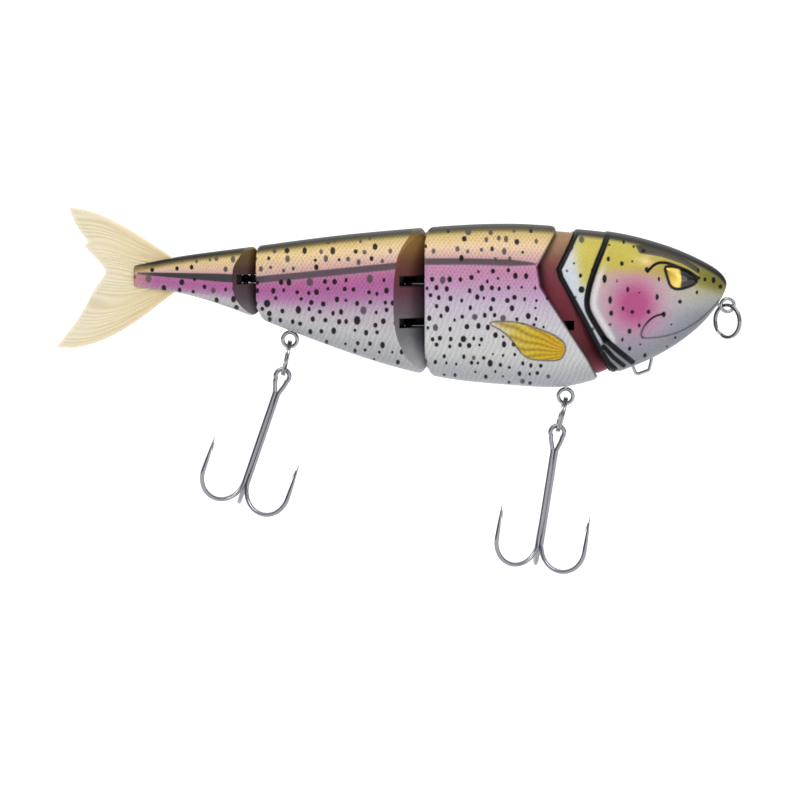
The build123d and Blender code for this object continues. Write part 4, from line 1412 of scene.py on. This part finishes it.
# How each section is built, its CAD shell, its body, its colour slot and its paint.
SECTIONS = (
    (build_head, "head_shell", "head", "head_paint", head_colour),
    (build_front, "front_shell", "front_section", "body_paint", front_colour),
    (build_mid, "mid_shell", "mid_section", "body_paint", mid_colour),
    (build_rear, "rear_shell", "rear_section", "body_paint", rear_colour),
)
for section in SECTIONS:
    finish_section(*section)

lens = eye_material()
for side, word in ((-1, "right"), (1, "left")):
    dress(eye_lens("eye_lens_" + word, side), "head", "eye_" + word, lens)

fin = tail()
fin.data.materials.append(tail_material())
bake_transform(fin)
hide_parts("tail_root", "tail_blade")

ring_metal = metal("ring_nickel", "8b8b8d", 0.15)
hook_metal = metal("hook_nickel", "85868c", 0.14)
wire_metal = metal("wire_steel", "929398", 0.15)
dark_metal = metal("joint_steel", "161618", 0.45)
bar_metal = metal("bar_steel", "4a4b4e", 0.35)

# Body, CAD node, place of the top, tilt and turn in degrees, where the coil ends, and size.
RINGS = (
    ("line_tie_ring", "line_tie_split_ring", (0.0, 0.05), 0.0, 45.0, 2.4, LINE_RING_SIZE),
    ("front_ring", "front_split_ring", (-45.5, -26.42), 14.0, 0.0, 1.2, HOOK_RING_SIZE),
    ("rear_ring", "rear_split_ring", (-123.2, -10.42), 12.0, 0.0, 4.4, HOOK_RING_SIZE),
)
for body, cad_node, top, tilt, turn, open_at, size in RINGS:
    ring = split_ring(body + "_coil", top, tilt, turn, open_at, *size)
    dress(ring, body, cad_node, ring_metal)

HOOKS = (("front_hook", "front_treble_hook", (-47.825, -35.989), 8.8),
         ("rear_hook", "rear_treble_hook", (-125.324, -20.034), 19.0))
for body, cad_node, eye_centre, tilt in HOOKS:
    dress(treble(body + "_wire", eye_centre, tilt), body, cad_node, hook_metal)

HEAD_JOINT = ("front_section", HEAD_PIN_X, HEAD_PIN_RADIUS, JOINT_WIRE_RADIUS, HEAD_SHANK_END)
MID_JOINT = ("front_section", MID_PIN_X, MID_PIN_RADIUS, JOINT_WIRE_RADIUS, MID_SHANK_END)
REAR_JOINT = ("mid_section", REAR_PIN_X, REAR_PIN_RADIUS, REAR_WIRE_RADIUS, REAR_SHANK_END)
JOINT_EYES = (
    ("head_joint_eye_upper", HEAD_JOINT, HEAD_SLOTS[0]), ("head_joint_eye_lower", HEAD_JOINT, HEAD_SLOTS[1]),
    ("mid_joint_eye_upper", MID_JOINT, MID_SLOTS[0]), ("mid_joint_eye_lower", MID_JOINT, MID_SLOTS[1]),
    ("rear_joint_eye", REAR_JOINT, REAR_SLOT),
)
for cad_node, (body, pin_x, pin_radius, wire, shank_end), height in JOINT_EYES:
    eye = joint_eye(cad_node + "_wire", pin_x, pin_radius, height, wire, shank_end)
    dress(eye, body, cad_node, dark_metal)

BRIGHT_WIRES = ("nose_line_tie", "chin_eye", "front_hook_hanger", "rear_hook_hanger")
for cad_node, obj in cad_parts.items():
    obj.data.materials.clear()
    obj.data.materials.append(wire_metal if cad_node in BRIGHT_WIRES else bar_metal)

for unused in (SKIN_SLOT, WALL_SLOT):
    bpy.data.materials.remove(unused)


# ---------------------------------------------------------------- floor, light and camera

def floor():
    """A wide pale floor below the lure."""
    size, height = 60.0, -0.16
    mesh = bpy.data.meshes.new("floor")
    corners = ((-size, -size), (size, -size), (size, size), (-size, size))
    mesh.from_pydata([(x, y, height) for x, y in corners], [], [(0, 1, 2, 3)])
    mesh.materials.append(material("pale_floor", {"Base Color": (0.95, 0.95, 0.95, 1), "Roughness": 0.9})[0])
    linked("floor", mesh)


def lamp(name, location, size, power):
    """A square lamp that looks at the middle of the lure."""
    light = bpy.data.lights.new(name, "AREA")
    light.shape = "RECTANGLE"
    light.size, light.size_y = size
    light.energy = power
    aim(linked(name, light), location, CENTRE)


def aim(obj, location, target):
    """Puts an object somewhere, looking at a target."""
    obj.location = location
    direction = Vector(target) - Vector(location)
    obj.rotation_euler = direction.to_track_quat("-Z", "Y").to_euler()


def studio_world():
    """A bright ceiling, a dimmer room at eye level, and a lighter wall behind."""
    world = bpy.data.worlds.new("studio")
    scene.world = world
    world.use_nodes = True
    tree = world.node_tree
    place = tree.nodes.new("ShaderNodeTexCoord")
    split = tree.nodes.new("ShaderNodeSeparateXYZ")
    link(tree, place.outputs["Generated"], split.inputs[0])
    total = tree.nodes.new("ShaderNodeMath")
    total.operation = "ADD"
    ceiling = (ROOM_LIGHT, CEILING_LIGHT, 0.1, 0.8)
    wall = (0.0, WALL_LIGHT, 0.0, 0.8)
    for i, (axis, values) in enumerate((("Z", ceiling), ("Y", wall))):
        link(tree, spread(tree, split.outputs[axis], values, "SMOOTHSTEP"), total.inputs[i])
    background = tree.nodes["Background"]
    set_inputs(background, {"Color": (1, 1, 1, 1)})
    link(tree, total.outputs[0], background.inputs["Strength"])


ROOM_LIGHT = 0.28
CEILING_LIGHT = 1.35
WALL_LIGHT = 0.5
CENTRE = (-0.0922, 0.0, -0.0268)

floor()
studio_world()
lamp("key", (-0.30, -0.70, 0.80), (0.9, 0.35), 5)
lamp("fill", (0.55, -0.75, 0.10), (0.25, 0.6), 1.6)

camera = linked("camera", bpy.data.cameras.new("camera"))
scene.camera = camera
DISTANCE = 1.4
ELEVATION = math.radians(5.0)
VIEW_WIDTH = 0.2256
SENSOR_WIDTH = 36
camera.data.sensor_width = SENSOR_WIDTH
camera.data.lens = SENSOR_WIDTH * DISTANCE / VIEW_WIDTH
camera.data.clip_start = 0.01
aim(camera, (CENTRE[0], -DISTANCE * math.cos(ELEVATION), CENTRE[2] + DISTANCE * math.sin(ELEVATION)), CENTRE)

scene.view_settings.view_transform = "Standard"
